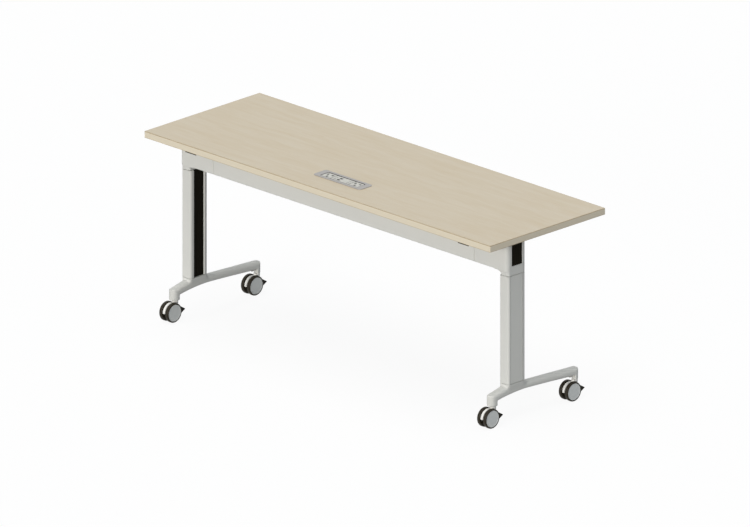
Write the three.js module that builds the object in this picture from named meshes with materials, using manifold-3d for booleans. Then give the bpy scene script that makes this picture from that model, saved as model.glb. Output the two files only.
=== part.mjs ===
// A mobile flip-top training desk: a long laminate top on a beam frame with two cast T-legs,
// four twin-wheel castors with brakes, and a flush power and data outlet near one long edge.
// Lengths are in millimetres. The desk runs along X, its beam side faces -Y, the side where
// people sit faces +Y, and the floor is at height zero below the middle of the top.

import * as THREE from 'three';
import { mergeVertices } from 'three/addons/utils/BufferGeometryUtils.js';
import Module from 'manifold-3d';

const wasm = await Module();
wasm.setup();

// Fits
const fit = 0.3; // gap between pieces that touch
const slip = 0.5; // gap beside a piece that moves inside another
const overrun = 2; // how far a cutting shape reaches past what it cuts

// Worktop
const topLength = 1800;
const topDepth = 600;
const topThickness = 25;
const topHeight = 740;
const bandThickness = 2;
const bandCornerRadius = 3;
const underside = topHeight - topThickness;

// Where the legs stand
const legInset = 73; // from the end of the top to the middle of a column
const legX = topLength / 2 - legInset;
const columnSetback = 110; // from the middle of the top to the middle of a column
const columnY = -columnSetback;

// Column
const columnWidth = 48;
const columnDepth = 100;
const columnNose = 20;
const columnWall = 3;
const columnFoot = 150;
const hollowCorner = 12;
const cableCoverWidth = 56;
const cableCoverRecess = 6;
const cableCoverThickness = 2.5;
const sideCoverWidth = 58;
const sideCoverInset = 0.5;
const sideCoverThickness = 2;
const ribCount = 6;
const ribHeight = 0.8;
const ribShare = 0.45; // part of each pitch that the raised rib takes
const spigotLength = 20;
const spigotWall = 3;

// Beam and corner castings
const castingHeight = 119.7; // from the head of the column up to the top of the frame
const seamInset = 221; // from the end of the top to the joint between casting and beam
const beamDepth = 60;
const beamHeight = 99.2;
const beamWall = 3;
const beamEdgeRadius = 5;
const towerStep = 3; // how far the casting stands in front of the column
const towerNose = 25; // rounding of the outer corner at the front, beside the beam
const towerEdgeRadius = 3;
const filletReach = 19; // how far the curve under the stub runs out along the beam
const neckInset = 5; // the casting is this much narrower than the column where they meet
const neckNose = 20; // rounding of the front corners where casting and column meet
const towerCeiling = 10; // solid thickness above the cable space in the casting
const insertWidth = 48.5;
const insertHeight = 76.7;
const insertPocketDepth = 4;
const insertThickness = 2;
const insertTopMargin = 5;

// Flip bracket and pivot
const bracketInset = 191; // from the end of the top to the middle of a bracket
const bracketWidth = 54;
const bracketHeight = 25;
const bracketSheet = 3;
const bracketFrontReach = 250; // from the middle of the top to the end near the beam side
const bracketRearReach = 190;
const pivotRound = 18; // radius of the casting's top edge, concentric with the pivot
const earWidth = 26;
const earRadius = 12;
const pinRadius = 5;
const pinEndWall = 2.5;
const guideWidth = 12;
const guideSheet = 2.5;
const guideGap = 140; // spacing of the two guides that carry a latch bar
const guideRearMargin = 20;

// Rest arm and keeper on each casting
const restArmWidth = 30;
const restArmReach = 65;
const restArmTipHeight = 22;
const restArmRootHeight = 60;
const keeperSheet = 6;
const keeperSetback = 10; // from the tip of the rest arm to the keeper
const keeperLip = 5;

// Latch
const latchBarWidth = 20;
const latchBarSheet = 6;
const latchRise = 8; // from the bracket's lower edge up to the latch bar
const latchBite = 3; // how far the nose reaches past the keeper
const latchTail = 24; // how far the bar sticks out of the bracket
const pullBarDepth = 22;
const pullBarHeight = 10;
const pullBarRadius = 4;

// Foot
const footWidth = 39;
const footFrontReach = 236; // from the middle of the top to the end of the toe
const footRearReach = 223;
const toeStemInset = 23.5; // from the end of the foot to the middle of the castor stem
const heelStemInset = 10.5;
const footPostBottom = 80;
const postWall = 4.5;
const postBossRadius = 10;
const postEdgeRadius = 2.5;
const toePostReach = 31; // from the end of the foot to the open side of the post
const heelPostReach = 24.5;
const footTopEdge = 14; // rounding along the upper edges of the arm
const footUnderEdge = 9;
const footTopShare = 0.58; // of the arm's height, the most that each rounding takes
const footUnderShare = 0.38;
const toeTop = 122;
const toeUnder = 90;
const toeArchPower = 2;
const instepTop = 139;
const instepSweep = 7; // depth of the curve between the instep and the column
const archTop = 107;
const archSetback = 60; // from the middle of the top to the crown of the arch
const shoulderTop = 131.5;
const heelSweep = 8;
const heelTop = 120.5;
const heelRound = 8;
const heelUnder = 90;
const heelArchPower = 1.2;
const footBaseDrop = 32; // height of the swelling under the column

// Castor
const wheelRadius = 37.5;
const wheelWidth = 15;
const wheelGap = 16.5; // between the two wheels of a castor
const treadRound = 4;
const castorTrail = 24;
const capRadius = 31;
const capThickness = 1.9;
const capInset = 0.5;
const capRim = 3.5;
const capDish = 0.5;
const axleRadius = 4;
const axleEndGap = 0.35;
const stemRadius = 5.5;
const stemBottom = 62;
const stemTop = 112;
const stemFlangeRadius = 8;
const stemFlangeSheet = 2;
const collarRadius = 12;
const collarHeight = 8.5;
const collarEdge = 1.5;
const hoodRadius = 35;
const hoodInnerRadius = 28;
const hoodCheek = 2.5;
const hoodBossRadius = 9;
const hoodSideGap = 0.5;
const hoodRearAngle = THREE.MathUtils.degToRad(55);
const neckFront = 14.5;
const neckRear = 32;
const neckBottom = 22;
const neckTop = 33;
const rockerRadius = 27.4;
const rockerSideGap = 0.35;
const pedalWidth = 37;
const pedalTopAngle = THREE.MathUtils.degToRad(27);
const pedalLowAngle = THREE.MathUtils.degToRad(-16);
const pedalWebShare = 0.75; // part of the upper angle that the web inside the wedge reaches
const pedalTipReach = 58;
const pedalTipHeight = 3.4;
const pedalTipSheet = 2.4;
const wheelClearance = 1.2;

// Power and data outlet
const outletSetback = 166; // from the middle of the top towards the beam side
const outletY = -outletSetback;
const bezelLength = 245;
const bezelWidth = 70;
const bezelSheet = 2;
const bezelCorner = 11;
const bezelEdge = 0.8;
const wellLength = 193;
const wellWidth = 46;
const wellCorner = 3;
const skirtWall = 1.5;
const skirtDepth = 12;
const housingWall = 2;
const housingDepth = 39; // below the upper face of the top
const cutoutMargin = 1.2;
const socketLength = 49;
const moduleWidth = 42;
const moduleSink = 1.2; // below the upper face of the bezel
const moduleCorner = 1.5;
const pinSlotDepth = 18;
const pinSlotLong = 7;
const pinSlotShort = 4.6;
const livePinSpread = 12;
const livePinRise = 7;
const earthPinDrop = 11;
const fillerLength = 14;
const grooveWidth = 1;
const grooveDepth = 1.2;
const portLength = 12;
const portWidth = 8;
const portDepth = 14;
const portInset = 14; // from the middle of the plate towards the left
const portSpacing = 16;
const portRise = 4;
const glandRadius = 5.8;
const glandBoreRadius = 3.5;
const glandLength = 18;
const glandFlangeRadius = 6.5;
const glandFlangeSheet = 3;

// Roundness of curved faces
const cornerSteps = 4;
const wheelSteps = 24;
const roundSteps = 16;
const bevelSteps = 2;

// Heights and places that follow from the sizes above
const bracketBottom = underside - bracketHeight;
const frameTop = bracketBottom - fit;
const columnHead = frameTop - castingHeight;
const beamBottom = frameTop - beamHeight;
const insertTop = frameTop - insertTopMargin;
const insertBottom = insertTop - insertHeight;
const frontFace = columnY - columnDepth / 2 - towerStep;
const pivotY = frontFace + pivotRound;
const pivotZ = frameTop - pivotRound;
const seamX = topLength / 2 - seamInset;
const bracketX = topLength / 2 - bracketInset;
const restArmTip = frontFace + beamDepth + restArmReach;
const latchBottom = bracketBottom + latchRise;
const axleZ = wheelRadius;
const bezelTop = topHeight + fit + bezelSheet;

function finish(colour, roughness, metalness) {
  return new THREE.MeshStandardMaterial({ color: colour, roughness, metalness });
}

const laminate = () => finish(0xcdc1ac, 0.45, 0);
const edging = () => finish(0xd6cab6, 0.5, 0);
const paintedMetal = () => finish(0xcccbc6, 0.4, 0.2);
const blackPlastic = () => finish(0x1a1811, 0.6, 0);
const tyreRubber = () => finish(0x2e2820, 0.8, 0);
const greyPlastic = () => finish(0xa4a7a5, 0.5, 0);
const hoodPlastic = () => finish(0xdedcd6, 0.5, 0);
const bareSteel = () => finish(0xb4b4b2, 0.35, 0.9);
const bezelMetal = () => finish(0xafadb0, 0.4, 0.6);
const modulePlastic = () => finish(0xd8d7d1, 0.45, 0);

// Solids and their joins and cuts

function solidOf(geometry) {
  const bare = geometry.clone();
  bare.deleteAttribute('normal');
  bare.deleteAttribute('uv');
  const merged = mergeVertices(bare);
  const corners = merged.index.array;
  const kept = [];
  for (let i = 0; i < corners.length; i += 3) {
    const [a, b, c] = corners.slice(i, i + 3);
    if (a !== b && b !== c && c !== a) kept.push(a, b, c);
  }
  return new wasm.Manifold(new wasm.Mesh({
    numProp: 3,
    vertProperties: new Float32Array(merged.attributes.position.array),
    triVerts: new Uint32Array(kept),
  }));
}

function geometryOf(solid) {
  const { vertProperties, triVerts } = solid.getMesh();
  const geometry = new THREE.BufferGeometry();
  geometry.setAttribute('position', new THREE.BufferAttribute(vertProperties, 3));
  geometry.setIndex(new THREE.BufferAttribute(triVerts, 1));
  geometry.computeVertexNormals();
  return geometry;
}

function join(...geometries) {
  return geometryOf(geometries.map(solidOf).reduce((all, next) => all.add(next)));
}

function cut(geometry, ...tools) {
  const whole = solidOf(geometry);
  return geometryOf(tools.map(solidOf).reduce((left, tool) => left.subtract(tool), whole));
}

function overlap(geometry, other) {
  return geometryOf(solidOf(geometry).intersect(solidOf(other)));
}

function mirrored(geometry) {
  const copy = geometryOf(solidOf(geometry));
  copy.scale(-1, 1, 1);
  const index = copy.index.array;
  for (let i = 0; i < index.length; i += 3) {
    [index[i], index[i + 1]] = [index[i + 1], index[i]];
  }
  return copy;
}

// Basic shapes

function block(x, y, z) {
  const [width, depth, height] = [x, y, z].map(([low, high]) => high - low);
  const box = new THREE.BoxGeometry(width, depth, height);
  return box.translate(...[x, y, z].map(([low, high]) => (low + high) / 2));
}

// An outline with its own radius at each corner, counter-clockwise from the lower left one.
function roundedOutline([left, right], [low, high], radii) {
  const [a, b, c, d] = radii;
  const outline = new THREE.Shape();
  outline.moveTo(left + a, low);
  outline.lineTo(right - b, low);
  outline.absarc(right - b, low + b, b, -Math.PI / 2, 0);
  outline.absarc(right - c, high - c, c, 0, Math.PI / 2);
  outline.absarc(left + d, high - d, d, Math.PI / 2, Math.PI);
  outline.absarc(left + a, low + a, a, Math.PI, Math.PI * 1.5);
  return outline;
}

function rounded(middleX, middleY, width, depth, radius) {
  const across = [middleX - width / 2, middleX + width / 2];
  const along = [middleY - depth / 2, middleY + depth / 2];
  return roundedOutline(across, along, [radius, radius, radius, radius]);
}

function upright(outline, bottom, top, steps = cornerSteps) {
  const options = { depth: top - bottom, bevelEnabled: false, curveSegments: steps };
  return new THREE.ExtrudeGeometry(outline, options).translate(0, 0, bottom);
}

// Turns a geometry drawn in the plane of Y and Z, and thickened along Z, to lie along X.
function turnAlongX(geometry) {
  const y = new THREE.Vector3(0, 1, 0);
  const z = new THREE.Vector3(0, 0, 1);
  const x = new THREE.Vector3(1, 0, 0);
  return geometry.applyMatrix4(new THREE.Matrix4().makeBasis(y, z, x));
}

function sideways(outline, start, end, steps = cornerSteps) {
  const options = { depth: end - start, bevelEnabled: false, curveSegments: steps };
  return turnAlongX(new THREE.ExtrudeGeometry(outline, options)).translate(start, 0, 0);
}

function turned(profile, steps) {
  const points = profile.map(([radius, along]) => new THREE.Vector2(radius, along));
  return new THREE.LatheGeometry(points, steps);
}

function turnedUpright(profile, x, y, steps = roundSteps) {
  return turned(profile, steps).rotateX(Math.PI / 2).translate(x, y, 0);
}

function turnedSideways(profile, y, z, steps = roundSteps) {
  return turned(profile, steps).rotateZ(-Math.PI / 2).translate(0, y, z);
}

function post(radius, x, y, bottom, top, steps = roundSteps) {
  return turnedUpright([[0, bottom], [radius, bottom], [radius, top], [0, top]], x, y, steps);
}

function shaft(radius, y, z, start, end, steps = roundSteps) {
  return turnedSideways([[0, start], [radius, start], [radius, end], [0, end]], y, z, steps);
}

function arcPoints(centre, radius, from, to, steps) {
  const points = [];
  for (let i = 0; i <= steps; i += 1) {
    const angle = from + ((to - from) * i) / steps;
    points.push([centre[0] + radius * Math.cos(angle), centre[1] + radius * Math.sin(angle)]);
  }
  return points;
}

function outlineOf(points) {
  return new THREE.Shape(points.map(([x, y]) => new THREE.Vector2(x, y)));
}

// Points on a rounded rectangle, counter-clockwise, with as many at each corner.
function roundedPoints([left, right], [low, high], radii) {
  const corners = [
    [left, low, 1, 1, Math.PI],
    [right, low, -1, 1, Math.PI * 1.5],
    [right, high, -1, -1, 0],
    [left, high, 1, -1, Math.PI / 2],
  ];
  return corners.flatMap(([x, y, inX, inY, from], i) => {
    const centre = [x + inX * radii[i], y + inY * radii[i]];
    return arcPoints(centre, radii[i], from, from + Math.PI / 2, cornerSteps);
  });
}

function levelRing(across, along, radii, height) {
  return roundedPoints(across, along, radii).map(([x, y]) => new THREE.Vector3(x, y, height));
}

function crossRing(heights, across, radii, y) {
  return roundedPoints(heights, across, radii).map(([z, x]) => new THREE.Vector3(x, y, z));
}

// A closed skin over rings with the same number of points, in order along Z or Y.
function skin(rings) {
  const count = rings[0].length;
  const position = rings.flat().flatMap((point) => point.toArray());
  const index = [];
  for (let ring = 0; ring + 1 < rings.length; ring += 1) {
    for (let i = 0; i < count; i += 1) {
      const a = ring * count + i;
      const b = ring * count + ((i + 1) % count);
      index.push(a, b, b + count, a, b + count, a + count);
    }
  }
  const last = (rings.length - 1) * count;
  for (let i = 1; i + 1 < count; i += 1) {
    index.push(0, i + 1, i, last, last + i, last + i + 1);
  }
  const geometry = new THREE.BufferGeometry();
  geometry.setAttribute('position', new THREE.Float32BufferAttribute(position, 3));
  geometry.setIndex(index);
  return geometry;
}

const desk = new THREE.Group();

function add(name, geometry, material, parent = desk) {
  const mesh = new THREE.Mesh(geometry, material);
  mesh.name = name;
  parent.add(mesh);
  return mesh;
}

// Adds a piece modelled for the left leg, and its mirror image for the right one.
function addPair(name, geometry, material) {
  add(`${name}_left`, geometry, material());
  add(`${name}_right`, mirrored(geometry), material());
}

// The worktop: a board with its edge band and the cut-out for the outlet.

const skirtLength = wellLength + 2 * skirtWall;
const skirtWidth = wellWidth + 2 * skirtWall;
const housingLength = skirtLength + 2 * (fit + housingWall);
const housingWidth = skirtWidth + 2 * (fit + housingWall);
const cutoutLength = housingLength + 2 * cutoutMargin;
const cutoutWidth = housingWidth + 2 * cutoutMargin;

function worktop() {
  const inset = 2 * (bandThickness + fit);
  const board = rounded(0, 0, topLength - inset, topDepth - inset, bandCornerRadius - bandThickness);
  board.holes.push(rounded(0, outletY, cutoutLength, cutoutWidth, wellCorner));
  return upright(board, underside, topHeight);
}

function edgeBand() {
  const outer = rounded(0, 0, topLength, topDepth, bandCornerRadius);
  const inset = 2 * bandThickness;
  const innerRadius = bandCornerRadius - bandThickness;
  outer.holes.push(rounded(0, 0, topLength - inset, topDepth - inset, innerRadius));
  return upright(outer, underside, topHeight);
}

add('table_top', worktop(), laminate());
add('edge_band', edgeBand(), edging());

// The columns: an extrusion with a cable channel on the inner side and a cover on the outer one.

const legLeft = -legX;
const outerFace = legLeft - columnWidth / 2;
const innerFace = legLeft + columnWidth / 2;
const sidePocket = outerFace + sideCoverInset + sideCoverThickness + fit;
const cablePocket = innerFace - cableCoverRecess - cableCoverThickness - fit;
const hollowX = [sidePocket + columnWall, cablePocket - columnWall];
const hollowY = [columnY - columnDepth / 2 + columnWall, columnY + columnDepth / 2 - columnWall];

function around(middle, width) {
  return [middle - width / 2, middle + width / 2];
}

function shrunk([low, high], margin) {
  return [low + margin, high - margin];
}

function allCorners(radius) {
  return [radius, radius, radius, radius];
}

function column() {
  const outline = rounded(legLeft, columnY, columnWidth, columnDepth, columnNose);
  outline.holes.push(roundedOutline(hollowX, hollowY, allCorners(hollowCorner)));
  const height = [columnFoot - overrun, columnHead + overrun];
  const sideSpace = around(columnY, sideCoverWidth + 2 * fit);
  const cableSpace = around(columnY, cableCoverWidth + 2 * fit);
  return cut(
    upright(outline, columnFoot, columnHead),
    block([outerFace - overrun, sidePocket], sideSpace, height),
    block([cablePocket, innerFace + overrun], cableSpace, height),
  );
}

// A plate with upright ribs on the face that looks in the direction facing, along X.
function ribbedPlate(back, face, width, facing) {
  const pitch = width / ribCount;
  const root = face - facing * ribHeight;
  const low = columnY - width / 2;
  const points = [[back, low]];
  for (let i = 0; i < ribCount; i += 1) {
    const start = low + pitch * i;
    const ribEnd = start + pitch * ribShare;
    points.push([face, start], [face, ribEnd], [root, ribEnd], [root, start + pitch]);
  }
  points.push([back, low + width]);
  return outlineOf(points);
}

function cableCover() {
  const back = cablePocket + fit;
  const face = back + cableCoverThickness;
  const outline = ribbedPlate(back, face, cableCoverWidth, 1);
  return upright(outline, columnFoot + fit, columnHead - fit);
}

function sideCover() {
  const across = [sidePocket - fit - sideCoverThickness, sidePocket - fit];
  const height = [columnFoot + fit, columnHead - fit];
  return block(across, around(columnY, sideCoverWidth), height);
}

addPair('column', column(), paintedMetal);
addPair('cable_cover', cableCover(), blackPlastic);
addPair('side_cover', sideCover(), paintedMetal);

// The corner castings: a tower on the column, a stub that meets the beam and holds the pivot,
// and a rest arm with the keeper for the latch.

const towerY = [frontFace, columnY + columnDepth / 2];
const spigotX = shrunk(hollowX, fit);
const spigotY = shrunk(hollowY, fit);
const bracketLeft = -bracketX;
const keeperY = [restArmTip - keeperSetback - keeperSheet, restArmTip - keeperSetback];

function tower() {
  const ringAt = (share, height) => {
    const reach = (filletReach + neckInset) * share - neckInset;
    const [outerCorner, innerCorner] = [towerNose, towerEdgeRadius].map((radius) => (
      neckNose + (radius - neckNose) * share
    ));
    const radii = [outerCorner, innerCorner, innerCorner, columnNose];
    return levelRing([outerFace, innerFace + reach], towerY, radii, height);
  };
  const seatTop = columnHead + fit;
  const rings = [ringAt(0, columnHead - overrun)];
  for (let i = 0; i <= cornerSteps; i += 1) {
    const angle = (Math.PI / 2) * (i / cornerSteps);
    rings.push(ringAt(1 - Math.cos(angle), seatTop + (beamBottom - seatTop) * Math.sin(angle)));
  }
  rings.push(ringAt(1, frameTop));
  const seat = block(
    around(legLeft, columnWidth * 2),
    around(columnY, columnDepth * 2),
    [columnHead - spigotLength, seatTop],
  );
  return cut(skin(rings), seat);
}

const beamY = [frontFace, frontFace + beamDepth];
const beamZ = [beamBottom, frameTop];

function beamOutline(topFrontRadius) {
  return roundedOutline(beamY, beamZ, [beamEdgeRadius, beamEdgeRadius, beamEdgeRadius, topFrontRadius]);
}

function restArm() {
  const root = beamY[1] - beamEdgeRadius * 2;
  const arm = outlineOf([
    [root, frameTop - restArmRootHeight],
    [restArmTip, frameTop - restArmTipHeight],
    [restArmTip, frameTop],
    [root, frameTop],
  ]);
  return sideways(arm, ...around(bracketLeft, restArmWidth));
}

function keeper() {
  const barTop = latchBottom + latchBarSheet;
  return block(
    around(bracketLeft, restArmWidth),
    keeperY,
    [frameTop - overrun, barTop + slip + keeperLip],
  );
}

function keeperWindow() {
  return block(
    around(bracketLeft, latchBarWidth + 2 * slip),
    [keeperY[0] - overrun, keeperY[1] + overrun],
    [latchBottom - slip, latchBottom + latchBarSheet + slip],
  );
}

function cornerCasting() {
  const hollow = shrunk(hollowX, spigotWall + fit);
  const hollowDepth = shrunk(hollowY, spigotWall + fit);
  const spigotLow = columnHead - spigotLength;
  const spigot = roundedOutline(spigotX, spigotY, allCorners(hollowCorner - fit));
  const cableSpace = roundedOutline(hollow, hollowDepth, allCorners(hollowCorner - spigotWall));
  const stubEnd = -seamX - fit / 2;
  const stub = sideways(beamOutline(pivotRound), innerFace - neckInset, stubEnd, bevelSteps);
  const inset = beamWall + fit;
  const plug = roundedOutline(shrunk(beamY, inset), shrunk(beamZ, inset), allCorners(beamEdgeRadius));
  const plugEnd = -seamX + spigotLength;
  const earSlot = around(bracketLeft, earWidth + 2 * slip);
  const pinStart = bracketLeft - bracketWidth / 2;
  return cut(
    join(
      tower(),
      stub,
      sideways(plug, -seamX - overrun, plugEnd, bevelSteps),
      upright(spigot, spigotLow, columnHead + overrun),
      restArm(),
      keeper(),
    ),
    upright(cableSpace, spigotLow - overrun, frameTop - towerCeiling),
    block(
      earSlot,
      [frontFace - overrun, pivotY + earRadius + slip],
      [pivotZ - earRadius - slip, frameTop + overrun],
    ),
    shaft(pinRadius + fit, pivotY, pivotZ, pinStart - fit, plugEnd + overrun),
    keeperWindow(),
    block(
      [outerFace - overrun, outerFace + insertPocketDepth],
      around(columnY, insertWidth + 2 * fit),
      [insertBottom - fit, insertTop + fit],
    ),
  );
}

function nodeInsert() {
  const back = outerFace + insertPocketDepth - fit;
  const face = back - insertThickness;
  const outline = ribbedPlate(back, face, insertWidth, -1);
  return upright(outline, insertBottom, insertTop);
}

function pivotPin() {
  const start = bracketLeft - bracketWidth / 2;
  return shaft(pinRadius, pivotY, pivotZ, start, -seamX - pinEndWall);
}

addPair('corner_casting', cornerCasting(), paintedMetal);
addPair('casting_insert', nodeInsert(), blackPlastic);
addPair('pivot_pin', pivotPin(), bareSteel);

// The beam between the two castings.

function beam() {
  const outline = beamOutline(beamEdgeRadius);
  outline.holes.push(roundedOutline(
    shrunk(beamY, beamWall),
    shrunk(beamZ, beamWall),
    allCorners(beamEdgeRadius),
  ));
  return sideways(outline, -seamX + fit / 2, seamX - fit / 2, bevelSteps);
}

add('beam', beam(), paintedMetal());

// The feet: a low arched arm between two castor posts, swelling up to carry the column.

const stemYs = [toeStemInset - footFrontReach, footRearReach - heelStemInset];
const archY = -archSetback;

// The line of the arm's upper edge from toe to heel, as points of place and height.
function footTopLine() {
  const front = columnY - columnDepth / 2;
  const rear = columnY + columnDepth / 2;
  const at = (y, height) => new THREE.Vector2(y, height);
  const rise = new THREE.QuadraticBezierCurve(
    at(front - instepSweep, instepTop),
    at(front, instepTop),
    at(front, columnFoot),
  );
  const fall = new THREE.QuadraticBezierCurve(
    at(rear, columnFoot),
    at(rear, shoulderTop),
    at(rear + heelSweep, shoulderTop),
  );
  const heelCentre = [footRearReach - heelRound, heelTop - heelRound];
  const heelArc = arcPoints(heelCentre, heelRound, Math.PI / 2, 0, bevelSteps);
  return [
    at(-footFrontReach, toeTop),
    ...rise.getPoints(cornerSteps),
    ...fall.getPoints(cornerSteps),
    ...heelArc.map(([y, height]) => at(y, height)),
  ];
}

function footUnderside(y) {
  const [drop, reach, power] = y < archY
    ? [archTop - toeUnder, footFrontReach - archSetback, toeArchPower]
    : [archTop - heelUnder, footRearReach + archSetback, heelArchPower];
  return archTop - drop * (Math.abs(y - archY) / reach) ** power;
}

const footX = around(legLeft, footWidth);
const footRound = footWidth / 2 - fit; // of the ends, seen from above

function footArm() {
  const body = skin(footTopLine().map(({ x: y, y: top }) => {
    const bottom = footUnderside(y);
    const over = Math.min(footTopEdge, (top - bottom) * footTopShare);
    const under = Math.min(footUnderEdge, (top - bottom) * footUnderShare);
    return crossRing([bottom, top], footX, [under, over, over, under], y);
  }));
  const footY = [-footFrontReach, footRearReach];
  const plan = outlineOf(roundedPoints(footX, footY, allCorners(footRound)));
  return overlap(body, upright(plan, footPostBottom, columnFoot + overrun));
}

// An end of the foot, turned down around a castor stem and open towards the middle of the foot.
function footPost(stemY) {
  const [end, open] = stemY < 0
    ? [-footFrontReach, toePostReach - footFrontReach]
    : [footRearReach, footRearReach - heelPostReach];
  const span = [Math.min(end, open), Math.max(end, open)];
  const top = footUnderside(stemY) + footUnderEdge;
  const ring = (inset, height) => {
    const [round, blunt] = [footRound - inset, postWall / 2];
    const radii = end < open ? [round, round, blunt, blunt] : [blunt, blunt, round, round];
    return levelRing(shrunk(footX, inset), shrunk(span, inset), radii, height);
  };
  const edge = [postEdgeRadius, footPostBottom + postEdgeRadius];
  const shell = skin([
    ...arcPoints(edge, postEdgeRadius, -Math.PI / 2, -Math.PI, bevelSteps).map(([x, z]) => ring(x, z)),
    ring(0, top),
  ]);
  const pocketY = [end, open + (open - end)].sort((low, high) => low - high);
  const pocket = outlineOf(roundedPoints(
    shrunk(footX, postWall), shrunk(pocketY, postWall), allCorners(footRound - postWall),
  ));
  return join(
    cut(shell, upright(pocket, footPostBottom - overrun, top + overrun)),
    post(postBossRadius, legLeft, stemY, footPostBottom, top),
  );
}

function footBase() {
  const rings = [];
  const arm = footWidth / 2;
  for (let i = 0; i <= cornerSteps; i += 1) {
    const share = i / cornerSteps;
    const swell = (1 - Math.cos(Math.PI * share)) / 2;
    const halfWidth = arm + (columnWidth / 2 - arm) * swell;
    const halfDepth = columnDepth / 2 + heelSweep * (1 - swell);
    const across = [legLeft - halfWidth, legLeft + halfWidth];
    const along = [columnY - halfDepth, columnY + halfDepth];
    const corner = Math.min(columnNose, halfWidth - fit);
    rings.push(levelRing(across, along, allCorners(corner), columnFoot - footBaseDrop * (1 - share)));
  }
  return skin(rings);
}

function foot() {
  const spigot = roundedOutline(spigotX, spigotY, allCorners(hollowCorner - fit));
  const bores = stemYs.map((y) => post(
    stemRadius + fit, legLeft, y, footPostBottom - overrun, stemTop + fit,
  ));
  const seat = block(
    [legLeft - columnWidth, legLeft + columnWidth],
    around(columnY, columnDepth * 2),
    [columnFoot - fit, columnFoot + spigotLength * 2],
  );
  const body = join(footArm(), ...stemYs.map(footPost), footBase());
  return cut(
    join(cut(body, seat), upright(spigot, columnFoot - overrun, columnFoot + spigotLength)),
    ...bores,
  );
}

addPair('foot', foot(), paintedMetal);

// The flip brackets under the top, each with the ear that turns on the pivot pin.

const bracketY = [-bracketFrontReach, bracketRearReach];
const bracketEdges = around(bracketLeft, bracketWidth);

function latchGuide(middle) {
  return block(
    shrunk(bracketEdges, bracketSheet / 2),
    around(middle, guideWidth),
    [latchBottom - fit - guideSheet, latchBottom - fit],
  );
}

function bracketEar() {
  const top = underside - bracketSheet;
  const ear = outlineOf([
    [pivotY + earRadius, top],
    [pivotY - earRadius, top],
    ...arcPoints([pivotY, pivotZ], earRadius, Math.PI, Math.PI * 2, cornerSteps * 2),
  ]);
  return sideways(ear, ...around(bracketLeft, earWidth));
}

function bracket() {
  const webBottom = underside - fit - bracketSheet;
  const [left, right] = bracketEdges;
  const web = block(bracketEdges, bracketY, [webBottom, underside - fit]);
  const flanges = [[left, left + bracketSheet], [right - bracketSheet, right]].map(
    (across) => block(across, bracketY, [bracketBottom, underside - fit]),
  );
  const rearGuide = bracketRearReach - guideRearMargin;
  return cut(
    join(
      web,
      ...flanges,
      latchGuide(rearGuide),
      latchGuide(rearGuide - guideGap),
      bracketEar(),
    ),
    shaft(pinRadius + fit, pivotY, pivotZ, ...around(bracketLeft, earWidth + 2 * overrun)),
  );
}

addPair('flip_bracket', bracket(), blackPlastic);

// The latch: a bar in each bracket whose nose sits in the keeper, joined by a pull bar.

const latchTailEnd = bracketRearReach + latchTail;

function latchBar() {
  return block(
    around(bracketLeft, latchBarWidth),
    [keeperY[0] - latchBite, latchTailEnd],
    [latchBottom, latchBottom + latchBarSheet],
  );
}

function pullBar() {
  const top = latchBottom - fit;
  const section = roundedOutline(
    [latchTailEnd - pullBarDepth, latchTailEnd],
    [top - pullBarHeight, top],
    allCorners(pullBarRadius),
  );
  const reach = bracketX + latchBarWidth / 2;
  return sideways(section, -reach, reach);
}

addPair('latch_bar', latchBar(), bareSteel);
add('latch_pull_bar', pullBar(), blackPlastic());

// The outlet: bezel, housing with its cable gland, two sockets and the data plate between them.

const housingBottom = topHeight - housingDepth;
const moduleTop = bezelTop - moduleSink;
const moduleFoot = housingBottom + housingWall + fit;

function bezel() {
  const bottom = topHeight + fit;
  const flange = rounded(0, outletY, bezelLength, bezelWidth, bezelCorner);
  const edge = {
    depth: bezelSheet - bezelEdge,
    bevelThickness: bezelEdge,
    bevelSize: bezelEdge,
    bevelOffset: -bezelEdge,
    bevelSegments: 1,
    curveSegments: cornerSteps,
  };
  const plate = new THREE.ExtrudeGeometry(flange, edge).translate(0, 0, bottom);
  const lower = block(
    around(0, bezelLength * 2),
    around(outletY, bezelWidth * 2),
    [bottom - bezelSheet, bottom],
  );
  const skirt = rounded(0, outletY, skirtLength, skirtWidth, wellCorner + skirtWall);
  const well = rounded(0, outletY, wellLength, wellWidth, wellCorner);
  return cut(
    join(cut(plate, lower), upright(skirt, topHeight - skirtDepth, bottom + bezelSheet / 2)),
    upright(well, topHeight - skirtDepth - overrun, bezelTop + overrun),
  );
}

function housing() {
  const outer = rounded(0, outletY, housingLength, housingWidth, wellCorner);
  const inner = rounded(
    0, outletY, housingLength - 2 * housingWall, housingWidth - 2 * housingWall, wellCorner,
  );
  const end = -housingLength / 2;
  const glandZ = (housingBottom + underside) / 2;
  return cut(
    upright(outer, housingBottom, topHeight),
    upright(inner, housingBottom + housingWall, topHeight + overrun),
    shaft(glandBoreRadius + fit, outletY, glandZ, end - overrun, end + housingWall + overrun),
  );
}

function cableGland() {
  const end = -housingLength / 2 - fit;
  const outerEnd = end - glandLength;
  return turnedSideways([
    [glandBoreRadius, outerEnd],
    [glandRadius, outerEnd],
    [glandRadius, end - glandFlangeSheet],
    [glandFlangeRadius, end - glandFlangeSheet],
    [glandFlangeRadius, end],
    [glandBoreRadius, end],
    [glandBoreRadius, outerEnd],
  ], outletY, (housingBottom + underside) / 2);
}

function moduleBlock(middle, length) {
  return upright(rounded(middle, outletY, length, moduleWidth, moduleCorner), moduleFoot, moduleTop);
}

function slot(x, y, length, width, depth) {
  const height = [moduleTop - depth, moduleTop + overrun];
  return block(around(x, length), around(y, width), height);
}

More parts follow.
